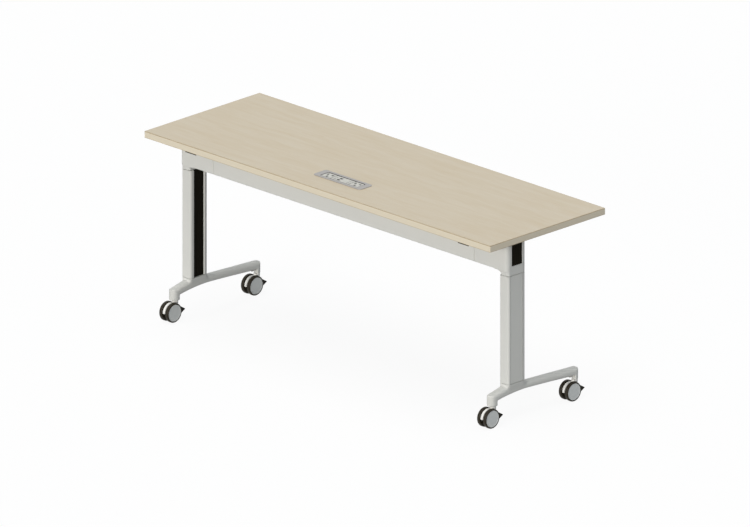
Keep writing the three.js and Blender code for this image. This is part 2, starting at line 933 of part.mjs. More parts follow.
function socket(middle) {
  const liveY = outletY + livePinRise;
  const earthY = outletY - earthPinDrop;
  return cut(
    moduleBlock(middle, socketLength),
    slot(middle - livePinSpread, liveY, pinSlotShort, pinSlotLong, pinSlotDepth),
    slot(middle + livePinSpread, liveY, pinSlotLong, pinSlotShort, pinSlotDepth),
    slot(middle, earthY, pinSlotShort, pinSlotLong, pinSlotDepth),
  );
}

const plateLength = wellLength - 2 * (socketLength + 2 * fit);
const socketMiddle = (plateLength + socketLength) / 2 + fit;

function dataPlate() {
  const grooves = [-1, 1].map((side) => slot(
    side * (plateLength / 2 - fillerLength), outletY, grooveWidth, moduleWidth * 2, grooveDepth,
  ));
  const ports = [portRise, portRise - portSpacing].map(
    (rise) => slot(-portInset, outletY + rise, portLength, portWidth, portDepth),
  );
  return cut(moduleBlock(0, plateLength), ...grooves, ...ports);
}

add('outlet_bezel', bezel(), bezelMetal());
add('outlet_housing', housing(), blackPlastic());
add('cable_gland', cableGland(), blackPlastic());
add('socket_left', socket(-socketMiddle), modulePlastic());
add('socket_right', socket(socketMiddle), modulePlastic());
add('data_plate', dataPlate(), modulePlastic());

// The castors, modelled with the middle of the stem at the origin and the floor at height zero.
// The axle trails towards -Y.

const axleY = -castorTrail;
const wheelInner = wheelGap / 2;
const wheelOuter = wheelInner + wheelWidth;
const capFace = wheelOuter - capInset;
const capBack = capFace - capThickness;
const hoodHalf = wheelInner - hoodSideGap;
const rockerHalf = hoodHalf - hoodCheek - rockerSideGap;
const collarTop = footPostBottom - fit * 2 - stemFlangeSheet;

function wheel() {
  const bore = axleRadius + fit;
  const inner = wheelInner + treadRound;
  const outer = wheelOuter - treadRound;
  const shoulder = wheelRadius - treadRound;
  const recess = capBack - fit;
  const profile = [
    [bore, wheelInner],
    ...arcPoints([shoulder, inner], treadRound, -Math.PI / 2, 0, bevelSteps),
    ...arcPoints([shoulder, outer], treadRound, 0, Math.PI / 2, bevelSteps),
    [capRadius + fit, wheelOuter],
    [capRadius + fit, recess],
    [bore, recess],
    [bore, wheelInner],
  ];
  return turnedSideways(profile, axleY, axleZ, wheelSteps);
}

function wheelCap() {
  const dish = capRadius - capRim;
  return turnedSideways([
    [0, capBack],
    [capRadius, capBack],
    [capRadius, capFace - capDish],
    [capRadius - capDish, capFace],
    [dish, capFace],
    [dish - capDish, capFace - capDish],
    [0, capFace - capDish],
  ], axleY, axleZ, wheelSteps);
}

function axle() {
  const end = capBack - fit - axleEndGap;
  return shaft(axleRadius, axleY, axleZ, -end, end);
}

function stem() {
  const flangeBottom = collarTop + fit;
  const flangeTop = flangeBottom + stemFlangeSheet;
  return turnedUpright([
    [0, stemBottom],
    [stemRadius, stemBottom],
    [stemRadius, flangeBottom],
    [stemFlangeRadius, flangeBottom],
    [stemFlangeRadius, flangeTop],
    [stemRadius, flangeTop],
    [stemRadius, stemTop],
    [0, stemTop],
  ], 0, 0);
}

function fender() {
  const centre = [axleY, axleZ];
  return outlineOf([
    ...arcPoints(centre, hoodRadius, hoodRearAngle, Math.PI, cornerSteps * 2),
    ...arcPoints(centre, hoodInnerRadius, Math.PI, hoodRearAngle, cornerSteps * 2),
  ]);
}

function cheek() {
  const neckRoot = axleZ + hoodInnerRadius;
  return outlineOf([
    [axleY + neckRear, axleZ + neckBottom],
    [axleY + neckRear, axleZ + neckTop],
    [axleY, neckRoot],
    [axleY - hoodBossRadius, axleZ + hoodBossRadius],
    ...arcPoints([axleY, axleZ], hoodBossRadius, Math.PI, Math.PI * 2, cornerSteps * 2),
    [axleY + hoodBossRadius, axleZ + hoodBossRadius],
  ]);
}

function hood() {
  const neck = block(
    [-hoodHalf, hoodHalf],
    [axleY + neckFront, axleY + neckRear],
    [axleZ + neckBottom, axleZ + neckTop],
  );
  const collar = turnedUpright([
    [0, collarTop - collarHeight],
    [collarRadius, collarTop - collarHeight],
    [collarRadius, collarTop - collarEdge],
    [collarRadius - collarEdge, collarTop],
    [0, collarTop],
  ], 0, 0);
  const clear = wheelRadius + wheelClearance;
  const wheelSpaces = [[-collarRadius - overrun, -hoodHalf], [hoodHalf, collarRadius + overrun]].map(
    ([start, end]) => shaft(clear, axleY, axleZ, start, end, wheelSteps),
  );
  const rockerSpace = hoodHalf - hoodCheek;
  return cut(
    join(
      sideways(fender(), -hoodHalf, hoodHalf),
      sideways(cheek(), -hoodHalf, hoodHalf),
      neck,
      collar,
    ),
    ...wheelSpaces,
    shaft(hoodInnerRadius, axleY, axleZ, -rockerSpace, rockerSpace, wheelSteps),
    shaft(axleRadius + fit, axleY, axleZ, -hoodHalf - overrun, hoodHalf + overrun),
    post(stemRadius + fit, 0, 0, stemBottom - fit, collarTop + overrun),
  );
}

function pedal() {
  const centre = [axleY, axleZ];
  const rim = wheelRadius + wheelClearance;
  const tip = [axleY + pedalTipReach, axleZ + pedalTipHeight];
  const wedge = outlineOf([
    ...arcPoints(centre, rim, pedalTopAngle, pedalLowAngle, cornerSteps),
    [tip[0], tip[1] - pedalTipSheet],
    tip,
  ]);
  const webTopAngle = pedalTopAngle * pedalWebShare;
  const web = outlineOf([
    ...arcPoints(centre, rim + overrun, pedalLowAngle, webTopAngle, cornerSteps),
    centre,
  ]);
  return cut(
    join(
      shaft(rockerRadius, axleY, axleZ, -rockerHalf, rockerHalf, wheelSteps),
      sideways(web, -rockerHalf, rockerHalf),
      sideways(wedge, -pedalWidth / 2, pedalWidth / 2),
    ),
    shaft(axleRadius + fit, axleY, axleZ, -rockerHalf - overrun, rockerHalf + overrun),
  );
}

const castorPieces = {
  stem: [stem(), bareSteel],
  hood: [hood(), hoodPlastic],
  axle: [axle(), bareSteel],
  wheel_left: [mirrored(wheel()), tyreRubber],
  wheel_right: [wheel(), tyreRubber],
  cap_left: [mirrored(wheelCap()), greyPlastic],
  cap_right: [wheelCap(), greyPlastic],
  brake_pedal: [pedal(), blackPlastic],
};

function addCastor(place, x, y) {
  const castor = new THREE.Group();
  castor.position.set(x, y, 0);
  desk.add(castor);
  for (const [piece, [geometry, material]] of Object.entries(castorPieces)) {
    add(`castor_${place}_${piece}`, geometry, material(), castor);
  }
}

addCastor('front_left', -legX, stemYs[0]);
addCastor('front_right', legX, stemYs[0]);
addCastor('rear_left', -legX, stemYs[1]);
addCastor('rear_right', legX, stemYs[1]);

export default desk;
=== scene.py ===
import math

import bmesh
import bpy
from mathutils import Matrix, Vector, geometry


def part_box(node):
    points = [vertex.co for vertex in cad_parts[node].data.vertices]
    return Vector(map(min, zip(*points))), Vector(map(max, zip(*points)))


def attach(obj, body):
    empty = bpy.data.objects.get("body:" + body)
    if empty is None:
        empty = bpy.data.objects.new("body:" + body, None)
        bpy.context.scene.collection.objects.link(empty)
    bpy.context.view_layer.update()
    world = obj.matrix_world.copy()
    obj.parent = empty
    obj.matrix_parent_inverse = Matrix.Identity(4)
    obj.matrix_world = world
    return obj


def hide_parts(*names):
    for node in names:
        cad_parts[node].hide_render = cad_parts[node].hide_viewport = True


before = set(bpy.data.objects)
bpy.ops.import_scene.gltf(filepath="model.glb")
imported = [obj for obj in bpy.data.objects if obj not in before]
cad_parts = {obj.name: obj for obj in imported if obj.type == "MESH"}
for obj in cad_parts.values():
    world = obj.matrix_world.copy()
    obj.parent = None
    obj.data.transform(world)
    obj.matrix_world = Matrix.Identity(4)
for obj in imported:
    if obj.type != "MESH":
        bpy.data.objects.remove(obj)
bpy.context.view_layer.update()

# The studio: a floor that looks white, even daylight, a ceiling lamp and low lamps front and rear.
# A parallel camera looks down on the corner between the beam side and the right end.
camera_turn = math.radians(45)
camera_tilt = math.asin(1 / 3)
camera_span = 2.76
camera_target = Vector((0.0005, 0.0005, 0.3733))
camera_distance = 8
floor_reach = 40
floor_drop = 0.0004
floor_grey = (0.3, 0.3, 0.3, 1)
floor_white = (0.97, 0.97, 0.97, 1)
floor_glow_share = 0.92
daylight = 0.36
daylight_tint = (0.85, 0.955, 1.05, 1)
lamp_tint = (1.035, 1.005, 0.965)
background_white = 1.0


def add_node(tree, kind, inputs=None, **settings):
    """Adds a node to a tree. Its inputs take a value each, or a link from another node's output."""
    node = tree.nodes.new(kind)
    for name, value in settings.items():
        setattr(node, name, value)
    for name, value in (inputs or {}).items():
        if isinstance(value, bpy.types.NodeSocket):
            tree.links.new(value, node.inputs[name])
        else:
            node.inputs[name].default_value = value
    return node


def maths(tree, operation, first, second=0.0):
    """The output of a new math node."""
    return add_node(tree, "ShaderNodeMath", {0: first, 1: second}, operation=operation).outputs[0]


def seen_directly(tree):
    """One for what the camera sees, straight, mirrored or through glass, and zero for light."""
    ray = add_node(tree, "ShaderNodeLightPath").outputs
    mirrored = maths(tree, "MAXIMUM", ray["Is Camera Ray"], ray["Is Glossy Ray"])
    return maths(tree, "MAXIMUM", mirrored, ray["Is Transmission Ray"])


scene = bpy.context.scene
scene.view_settings.view_transform = "Standard"

camera_back = Vector((
    math.sin(camera_turn) * math.cos(camera_tilt),
    -math.cos(camera_turn) * math.cos(camera_tilt),
    math.sin(camera_tilt),
))
camera = bpy.data.objects.new("Camera", bpy.data.cameras.new("Camera"))
camera.data.type = "ORTHO"
camera.data.ortho_scale = camera_span
camera.location = camera_target + camera_back * camera_distance
camera.rotation_euler = camera_back.to_track_quat("Z", "Y").to_euler()
scene.collection.objects.link(camera)
scene.camera = camera

# Daylight: soft and a little blue on the object, plain white where the camera sees past it.
world = bpy.data.worlds.new("Daylight")
scene.world = world
world.use_nodes = True
sky = world.node_tree
sky.nodes.clear()
sky_light = add_node(sky, "ShaderNodeBackground", {"Color": daylight_tint, "Strength": daylight})
sky_seen = add_node(sky, "ShaderNodeBackground", {
    "Color": (1, 1, 1, 1), "Strength": background_white,
})
sky_choice = add_node(sky, "ShaderNodeMixShader", {
    0: seen_directly(sky), 1: sky_light.outputs[0], 2: sky_seen.outputs[0],
})
add_node(sky, "ShaderNodeOutputWorld", {"Surface": sky_choice.outputs[0]})

for lamp_name, lamp_from, lamp_strength, lamp_softness in [
    ("Front_lamp", (0.3, -1, 0.16), 2.12, 25),
    ("Rear_lamp", (-0.3, 1, 0.12), 0.5, 25),
    ("Ceiling_lamp", (0, -0.1, 1), 1.44, 50),
]:
    lamp = bpy.data.objects.new(lamp_name, bpy.data.lights.new(lamp_name, "SUN"))
    lamp.data.energy = lamp_strength
    lamp.data.color = lamp_tint
    lamp.data.angle = math.radians(lamp_softness)
    lamp.rotation_euler = Vector(lamp_from).to_track_quat("Z", "Y").to_euler()
    scene.collection.objects.link(lamp)

# Painted floor: it looks white, keeps the desk's soft shadow, throws back little light, and
# can't be seen from below.
floor_corners = [(-1, -1), (1, -1), (1, 1), (-1, 1)]
floor_mesh = bpy.data.meshes.new("Floor")
floor_mesh.from_pydata(
    [(x * floor_reach, y * floor_reach, -floor_drop) for x, y in floor_corners],
    [],
    [(0, 1, 2, 3)],
)
floor = bpy.data.objects.new("Floor", floor_mesh)
scene.collection.objects.link(floor)
floor_paint = bpy.data.materials.new("Painted_floor")
floor_paint.use_nodes = True
floor_tree = floor_paint.node_tree
floor_tree.nodes.clear()
floor_tone = add_node(floor_tree, "ShaderNodeMixRGB", {
    "Fac": seen_directly(floor_tree), "Color1": floor_grey, "Color2": floor_white,
})
floor_matt = add_node(floor_tree, "ShaderNodeBsdfDiffuse", {"Color": floor_tone.outputs[0]})
floor_glow = add_node(floor_tree, "ShaderNodeEmission", {"Strength": background_white})
floor_top = add_node(floor_tree, "ShaderNodeMixShader", {
    0: maths(floor_tree, "MULTIPLY", seen_directly(floor_tree), floor_glow_share),
    1: floor_matt.outputs[0],
    2: floor_glow.outputs[0],
})
floor_side = add_node(floor_tree, "ShaderNodeNewGeometry")
floor_clear = add_node(floor_tree, "ShaderNodeBsdfTransparent")
floor_both = add_node(floor_tree, "ShaderNodeMixShader", {
    0: floor_side.outputs["Backfacing"], 1: floor_top.outputs[0], 2: floor_clear.outputs[0],
})
add_node(floor_tree, "ShaderNodeOutputMaterial", {"Surface": floor_both.outputs[0]})
floor.data.materials.append(floor_paint)

# The worktop is a board of fine particles, 25 mm thick, with a pale maple melamine sheet pressed
# on both faces. The cut-out for the outlet is sawn, and the metal bezel covers its edges.
top_height = 740
board_thickness = 25
maple_pale = "#CEC2AC"
maple_dark = "#C9BA9F"
maple_fleck = "#BDA37C"
board_core = "#A98F66"


def linear(hex_colour):
    """The linear colour of an sRGB hex value."""
    channels = [int(hex_colour[i:i + 2], 16) / 255 for i in (1, 3, 5)]
    bent = [c / 12.92 if c <= 0.04045 else ((c + 0.055) / 1.055) ** 2.4 for c in channels]
    return (*bent, 1)


def new_material(name, **settings):
    """A material with its tree and its main shader, whose sockets take these values."""
    material = bpy.data.materials.new(name)
    material.use_nodes = True
    shader = material.node_tree.nodes["Principled BSDF"]
    for socket, value in settings.items():
        shader.inputs[socket.replace("_", " ")].default_value = value
    return material, material.node_tree, shader


def feed(tree, shader, **sources):
    """Links each of these outputs to the shader's socket of that name."""
    for socket, source in sources.items():
        tree.links.new(source, shader.inputs[socket.replace("_", " ")])


def stretched(tree, place, *scale):
    """A place whose patterns are drawn out along the axes with a small scale."""
    return add_node(tree, "ShaderNodeMapping", {"Vector": place, "Scale": scale}).outputs[0]


def clouds(tree, place, size, detail=2, **more):
    """Noise with patches of this many millimetres."""
    return add_node(tree, "ShaderNodeTexNoise", {
        "Vector": place, "Scale": 1000 / size, "Detail": detail, **more,
    }).outputs["Fac"]


def ramp(tree, value, start, end, most=1.0, **settings):
    """What rises from zero at the start value to the most at the end value."""
    return add_node(tree, "ShaderNodeMapRange", {
        "Value": value, "From Min": start, "From Max": end, "To Max": most,
    }, **settings).outputs[0]


def blended(tree, share, first, second):
    """A mix of two colours, each a hex value or the output of a node."""
    first, second = [linear(c) if isinstance(c, str) else c for c in (first, second)]
    return add_node(tree, "ShaderNodeMixRGB", {
        "Fac": share, "Color1": first, "Color2": second,
    }).outputs[0]


def relief(tree, height, strength, depth):
    """A bumpy normal for a grain of this many millimetres' depth."""
    return add_node(tree, "ShaderNodeBump", {
        "Height": height, "Strength": strength, "Distance": depth / 1000,
    }).outputs[0]


def dressed(material, *nodes):
    """Gives CAD nodes their material."""
    for node in nodes:
        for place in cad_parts[node].material_slots:
            place.material = material


# Maple melamine: long pale figure with a few short brown flecks and fine fibres, under a dry satin
# film. The sawn sides show the brown core.
laminate, tree, shader = new_material("Maple_melamine", IOR=1.5, Roughness=0.42)
place = add_node(tree, "ShaderNodeTexCoord").outputs
board_grain = stretched(tree, place["Object"], 1 / 9, 1, 1)
figure = clouds(tree, board_grain, 26, 5, Roughness=0.62, Distortion=0.5)
fleck = clouds(tree, board_grain, 17, 3, Roughness=0.7, Distortion=1.1)
fibre = clouds(tree, stretched(tree, place["Object"], 1 / 24, 1, 1), 1.6)
wood = blended(tree, ramp(tree, figure, 0.36, 0.68), maple_pale, maple_dark)
flecked = blended(tree, ramp(tree, fleck, 0.64, 0.82, 0.55), wood, maple_fleck)
fibred = blended(tree, ramp(tree, fibre, 0.3, 0.7, 0.12), flecked, maple_fleck)
upright = add_node(tree, "ShaderNodeSeparateXYZ", {0: place["Normal"]}).outputs["Z"]
sawn = maths(tree, "LESS_THAN", maths(tree, "ABSOLUTE", upright), 0.5)
board_colour = blended(tree, sawn, fibred, board_core)
feed(tree, shader, Base_Color=board_colour, Normal=relief(tree, fibre, 0.25, 0.05))
dressed(laminate, "table_top")

# The edge band is a 2 mm strip of ABS, printed like the board, glued on all round, and its edges
# rounded by scraping to a small radius. A darker colour on these rounded edges is painted shade.
band_thickness = 2
band_corner = 3
band_scrape = 0.9
# Where the painted edge shade starts and where it is full, in millimetres from the board's middle.
edge_shade_span = (10.4, 11.2)
band_colour = "#D8CEBB"
# Painted shade for the band's rounded edges.
band_edge_shade = "#AF9C79"
band_grain = "#D6CAB1"


def evaluated(thing):
    """The mesh of an object with its modifiers applied, which are then removed."""
    bpy.context.view_layer.update()
    shown = thing.evaluated_get(bpy.context.evaluated_depsgraph_get())
    mesh = bpy.data.meshes.new_from_object(shown)
    thing.modifiers.clear()
    return mesh


def new_tree(name, **sizes):
    """A Geometry Nodes tree with an input for each size: the tree, its inputs and its end."""
    tree = bpy.data.node_groups.new(name, "GeometryNodeTree")
    tree.is_modifier = True
    tree.interface.new_socket("Geometry", in_out="INPUT", socket_type="NodeSocketGeometry")
    for size, kind in sizes.items():
        tree.interface.new_socket(size, in_out="INPUT", socket_type=f"NodeSocket{kind}")
    tree.interface.new_socket("Geometry", in_out="OUTPUT", socket_type="NodeSocketGeometry")
    return tree, tree.nodes.new("NodeGroupInput").outputs, tree.nodes.new("NodeGroupOutput")


def ended(tree, size, end, shape):
    """Ends a tree: its copies become real and take the material among its inputs."""
    real = add_node(tree, "GeometryNodeRealizeInstances", {0: shape})
    painted = add_node(tree, "GeometryNodeSetMaterial", {
        "Geometry": real.outputs[0], "Material": size["Material"],
    })
    tree.links.new(painted.outputs[0], end.inputs[0])


def grown(tree, base=None, **values):
    """A new object that a tree makes from these values, on a base mesh if it has one."""
    thing = bpy.data.objects.new("Draft", base or bpy.data.meshes.new("Draft"))
    scene.collection.objects.link(thing)
    step = thing.modifiers.new("Shape", "NODES")
    step.node_group = tree
    for item in tree.interface.items_tree:
        if item.name in values:
            step[item.identifier] = values[item.name]
    thing.data = evaluated(thing)
    return thing


def outwards(thing):
    """Merges what is double in a mesh and turns its faces outwards."""
    mesh = bmesh.new()
    mesh.from_mesh(thing.data)
    bmesh.ops.remove_doubles(mesh, verts=mesh.verts, dist=2e-6)
    bmesh.ops.dissolve_degenerate(mesh, edges=mesh.edges, dist=1e-6)
    bmesh.ops.recalc_face_normals(mesh, faces=mesh.faces)
    mesh.to_mesh(thing.data)
    mesh.free()
    return thing


def finished(thing, name, material, body, slot, *stands_for, crease=32):
    """Names a piece, smooths its round faces, hangs it on its body, hides the nodes it stands for.

    Its flat faces keep straight normals beside small rounded edges, so light falls evenly on them.
    """
    thing.data.shade_smooth()
    thing.data.set_sharp_from_angle(angle=math.radians(crease))
    step = thing.modifiers.new("Straight", "WEIGHTED_NORMAL")
    step.keep_sharp, step.weight = True, 100
    thing.data = evaluated(thing)
    thing.name = thing.data.name = name
    thing.data.materials.clear()
    thing.data.materials.append(material)
    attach(thing, body)
    if stands_for:
        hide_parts(*stands_for)
    return thing


# ABS edging: the same maple print, smoother than the board, with painted shade on its rounded
# edges.
edging, tree, shader = new_material("ABS_edging", IOR=1.53, Roughness=0.4)
place = add_node(tree, "ShaderNodeTexCoord").outputs["Object"]
height = add_node(tree, "ShaderNodeSeparateXYZ", {0: place}).outputs["Z"]
board_middle = (top_height - board_thickness / 2) / 1000
off_middle = maths(tree, "ABSOLUTE", maths(tree, "SUBTRACT", height, board_middle))
print_line = clouds(tree, stretched(tree, place, 1 / 20, 1 / 20, 1), 5, 3)
printed = blended(tree, print_line, band_colour, band_grain)
# Painted shade: the band darkens towards its rounded top and bottom edges.
edge_shade_share = ramp(tree, off_middle, *[edge / 1000 for edge in edge_shade_span])
edged = blended(tree, edge_shade_share, printed, band_edge_shade)
feed(tree, shader, Base_Color=edged, Normal=relief(tree, clouds(tree, place, 0.8), 0.15, 0.03))

band_tree, size, end = new_tree(
    "Band_round_a_board", Length="Float", Depth="Float", Corner="Float", Thickness="Float",
    Height="Float", Scrape="Float", Middle="Vector", Material="Material",
)
path = add_node(band_tree, "GeometryNodeCurvePrimitiveQuadrilateral", {
    "Width": size["Length"], "Height": size["Depth"],
})
round_path = add_node(band_tree, "GeometryNodeFilletCurve", {
    "Curve": path.outputs[0], "Count": 8, "Radius": size["Corner"],
}, mode="POLY")
section = add_node(band_tree, "GeometryNodeCurvePrimitiveQuadrilateral", {
    "Width": size["Thickness"], "Height": size["Height"],
})
round_section = add_node(band_tree, "GeometryNodeFilletCurve", {
    "Curve": section.outputs[0], "Count": 4, "Radius": size["Scrape"],
}, mode="POLY")
swept = add_node(band_tree, "GeometryNodeCurveToMesh", {
    "Curve": round_path.outputs[0], "Profile Curve": round_section.outputs[0],
})
lifted = add_node(band_tree, "GeometryNodeTransform", {
    "Geometry": swept.outputs[0], "Translation": size["Middle"],
})
ended(band_tree, size, end, lifted.outputs[0])

low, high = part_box("edge_band")
band = grown(
    band_tree,
    Length=high.x - low.x - band_thickness / 1000,
    Depth=high.y - low.y - band_thickness / 1000,
    Corner=(band_corner - band_thickness / 2) / 1000,
    Thickness=band_thickness / 1000,
    Height=high.z - low.z,
    Scrape=band_scrape / 1000,
    Middle=(low + high) / 2,
    Material=edging,
)
finished(outwards(band), "Edge_band", edging, "top", "edging", "edge_band")

# The beam is a roll-formed steel tube of 60 by 99 mm with 3 mm walls, cut square and pushed over
# the plugs of the two castings. It is powder-coated light grey, like all the metal of the legs.
beam_wall = 3
beam_corner = 5
end_chamfer = 1.9
paint_light = "#D7D6D1"
paint_shade = "#D3D3CE"


def extent(node):
    """The two corners of a CAD node's box in millimetres."""
    return [corner * 1000 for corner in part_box(node)]


def arc(centre, radius, start, end, steps):
    """Points on an arc between two angles in degrees."""
    turns = [math.radians(start + (end - start) * i / steps) for i in range(steps + 1)]
    return [(centre[0] + radius * math.cos(t), centre[1] + radius * math.sin(t)) for t in turns]


def rounded(across, along, radii, steps=10):
    """A rounded rectangle, counter-clockwise from its lower left corner."""
    (left, right), (low, high) = across, along
    radii = radii if isinstance(radii, tuple) else (radii,) * 4
    corners = [(left, low, 1, 1), (right, low, -1, 1), (right, high, -1, -1), (left, high, 1, -1)]
    points = []
    for turn, ((x, y, in_x, in_y), radius) in enumerate(zip(corners, radii)):
        start = 180 + 90 * turn
        points += arc((x + in_x * radius, y + in_y * radius), radius, start, start + 90, steps)
    return points


def shrunk(span, margin):
    return span[0] + margin, span[1] - margin


def around(middle, width):
    return middle - width / 2, middle + width / 2


def placed(axis, along, a, b):
    """A point from its place along an axis and its other two coordinates, as x, y and z."""
    return {"x": (along, a, b), "y": (a, along, b), "z": (a, b, along)}[axis]


def draft(points, faces):
    """A new closed object from points in millimetres."""
    mesh = bpy.data.meshes.new("Draft")
    mesh.from_pydata([[value / 1000 for value in point] for point in points], [], faces)
    thing = bpy.data.objects.new("Draft", mesh)
    scene.collection.objects.link(thing)
    return outwards(thing)


def skin(rings, ends="capped"):
    """A skin over rings of points. Its ends are capped, joined to each other, or left open."""
    count, total = len(rings[0]), len(rings)
    faces = []
    for ring in range(total if ends == "joined" else total - 1):
        near, far = ring * count, (ring + 1) % total * count
        for i in range(count):
            step = (i + 1) % count
            faces.append((near + i, near + step, far + step, far + i))
    if ends == "capped":
        faces += [tuple(range(count)), tuple(range((total - 1) * count, total * count))]
    return draft([point for ring in rings for point in ring], faces)


def prism(axis, span, outer, *holes):
    """An outline, with or without holes, made solid along an axis."""
    loops = [outer, *holes]
    flat = [point for loop in loops for point in loop]
    count = len(flat)
    caps = [tuple(range(count))]
    if holes:
        outlines = [[Vector((a, b, 0)) for a, b in loop] for loop in loops]
        caps = geometry.tessellate_polygon(outlines)
    faces = [tuple(i + shift for i in cap) for shift in (0, count) for cap in caps]
    first = 0
    for loop in loops:
        turn = len(loop)
        for i in range(turn):
            a, b = first + i, first + (i + 1) % turn
            faces.append((a, b, b + count, a + count))
        first += turn
    return draft([placed(axis, end, a, b) for end in span for a, b in flat], faces)


# Powder coat: sprayed and baked, with a soft sheen and a fine orange peel, about 1.5 mm wide.
# Zinc plating gets the same clouds and grain, under a metallic shine.
def metal_finish(name, light, shade, roughness, specular, metallic=0.0):
    material, tree, shader = new_material(
        name, Metallic=metallic, Roughness=roughness, Specular_IOR_Level=specular,
    )
    place = add_node(tree, "ShaderNodeTexCoord").outputs["Object"]
    tone = blended(tree, clouds(tree, place, 70, 3), light, shade)
    feed(tree, shader, Base_Color=tone, Normal=relief(tree, clouds(tree, place, 1.5), 0.2, 0.04))
    return material


painted_steel = metal_finish("Powder_coated_steel", paint_light, paint_shade, 0.45, 0.25)

low, high = extent("beam")
beam_y, beam_z = (low.y, high.y), (low.z, high.z)


def beam_ring(x, inset):
    outline = rounded(shrunk(beam_y, inset), shrunk(beam_z, inset), beam_corner - inset / 2)
    return [(x, y, z) for y, z in outline]


beam = skin([
    beam_ring(low.x + end_chamfer, 0),
    beam_ring(low.x, end_chamfer),
    beam_ring(low.x, beam_wall),
    beam_ring(high.x, beam_wall),
    beam_ring(high.x, end_chamfer),
    beam_ring(high.x - end_chamfer, 0),
], "joined")
finished(beam, "Beam_tube", painted_steel, "frame", "painted_steel", "beam")

# The corner castings are die-cast aluminium. Each stands on a column, turns in a quarter round
# into the beam, and carries the pivot, a short arm under the top and the keeper of the latch.
leg_x = 827
column_width = 48
column_depth = 100
column_y = -110
column_nose = 20
column_brow = 9
column_setback = 4.5
column_foot = 150
column_head = 570
column_wall = 3
side_pocket_depth = 2.8
cable_pocket_depth = 8.8
hollow_corner = 12
gap = 0.3
slip = 0.5
seam_gap = 1.1
reach_over = 2
tower_nose = 17
tower_edge = 3
fillet_reach = 19
fillet_steps = 16
neck_inset = 5
pivot_round = 18
pivot_y = -145
pivot_z = 671.7
pin_radius = 5
pin_reach = 27
ear_width = 26
ear_radius = 12
bracket_x = 709
arm_width = 30
arm_tip = -38
arm_tip_height = 22
arm_root_height = 60
keeper_sheet = 6
keeper_setback = 10
keeper_lip = 5
latch_z = (698, 704)
latch_width = 20
pocket_depth = 4
insert_sides = 3.5
insert_rise = 13
spigot_length = 20


def between(share, start, end):
    return start + (end - start) * share


def block(x, y, z):
    return prism("z", z, [(x[0], y[0]), (x[1], y[0]), (x[1], y[1]), (x[0], y[1])])


def turned(axis, middle, profile, steps=64):
    """A turned part from pairs of radius and place along the axis, round a middle."""
    rings = []
    for radius, along in profile:
        circle = arc(middle, radius, 0, 360 - 360 / steps, steps - 1)
        rings.append([placed(axis, along, *point) for point in circle])
    return skin(rings[:-1], "joined") if profile[0] == profile[-1] else skin(rings, "open")


def shaft(axis, middle, radius, span, steps=48):
    profile = [(0, span[0]), (radius, span[0]), (radius, span[1]), (0, span[1])]
    return turned(axis, middle, profile, steps)


def combined(operation, base, *tools):
    """Joins tools to a base, cuts them from it, or keeps what they share with it."""
    for tool in tools:
        step = base.modifiers.new("Step", "BOOLEAN")
        step.operation, step.solver, step.object = operation, "EXACT", tool
    base.data = evaluated(base)
    if not base.data.polygons:
        raise RuntimeError("a join or cut left nothing")
    for tool in tools:
        bpy.data.objects.remove(tool)
    return outwards(base)


def eased(thing, width, segments=2, limit=40):
    """Rounds the sharp edges of a draft by this many millimetres."""
    step = thing.modifiers.new("Ease", "BEVEL")
    step.width, step.segments = width / 1000, segments
    step.limit_method, step.angle_limit = "ANGLE", math.radians(limit)
    thing.data = evaluated(thing)
    return thing


def copied(thing, shift=(0, 0, 0), mirror=False):
    """A copy of a draft, moved by millimetres, and mirrored for the other side where asked."""
    mesh = thing.data.copy()
    if mirror:
        mesh.transform(Matrix.Scale(-1, 4, (1, 0, 0)))
        mesh.flip_normals()
    mesh.transform(Matrix.Translation([value / 1000 for value in shift]))
    copy = bpy.data.objects.new("Draft", mesh)
    scene.collection.objects.link(copy)
    return copy


def finished_pair(left, name, material, body, slot, *stands_for):
    """Finishes the piece of the left leg and its mirror image on the right leg."""
    right = copied(left, mirror=True)
    for side, thing in (("left", left), ("right", right)):
        nodes = [f"{node}_{side}" for node in stands_for]
        finished(thing, f"{name}_{side}", material, body, slot, *nodes)


column_x = outer_face, inner_face = around(-leg_x, column_width)
column_span = (column_y - column_depth / 2 + column_setback, column_y + column_depth / 2)
column_radii = (column_brow, column_brow, column_nose, column_nose)
side_pocket, cable_pocket = outer_face + side_pocket_depth, inner_face - cable_pocket_depth
hollow_x = (side_pocket + column_wall, cable_pocket - column_wall)
hollow_y = shrunk(column_span, column_wall)
tower_radii = (tower_nose, tower_edge, tower_edge, column_nose)
stub_radii = (beam_corner, beam_corner, beam_corner, pivot_round)


def tower_ring(share, height, inset=0):
    """The casting at a height: the column's outline at no share, the beam's front at a full one."""
    across = (outer_face, inner_face + between(share, -neck_inset, fillet_reach))
    along = (between(share, column_span[0], beam_y[0]), column_span[1])
    radii = tuple(between(share, *pair) - inset / 2 for pair in zip(column_radii, tower_radii))
    outline = rounded(shrunk(across, inset), shrunk(along, inset), radii)
    return [(x, y, height) for x, y in outline]


def stub_ring(x, inset):
    """The casting beside the beam, with the beam's outline and a round upper rear edge."""
    radii = tuple(radius - inset / 2 for radius in stub_radii)
    return [(x, y, z) for y, z in rounded(shrunk(beam_y, inset), shrunk(beam_z, inset), radii)]


seat_top = column_head + seam_gap
tower_rings = [tower_ring(0, seat_top, end_chamfer)]
for i in range(fillet_steps + 1):
    turn = math.pi / 2 * i / fillet_steps
    rise = (beam_z[0] - seat_top) * math.sin(turn)
    tower_rings.append(tower_ring(1 - math.cos(turn), seat_top + max(rise, end_chamfer)))
frame_top = beam_z[1]
tower_rings.append(tower_ring(1, frame_top))

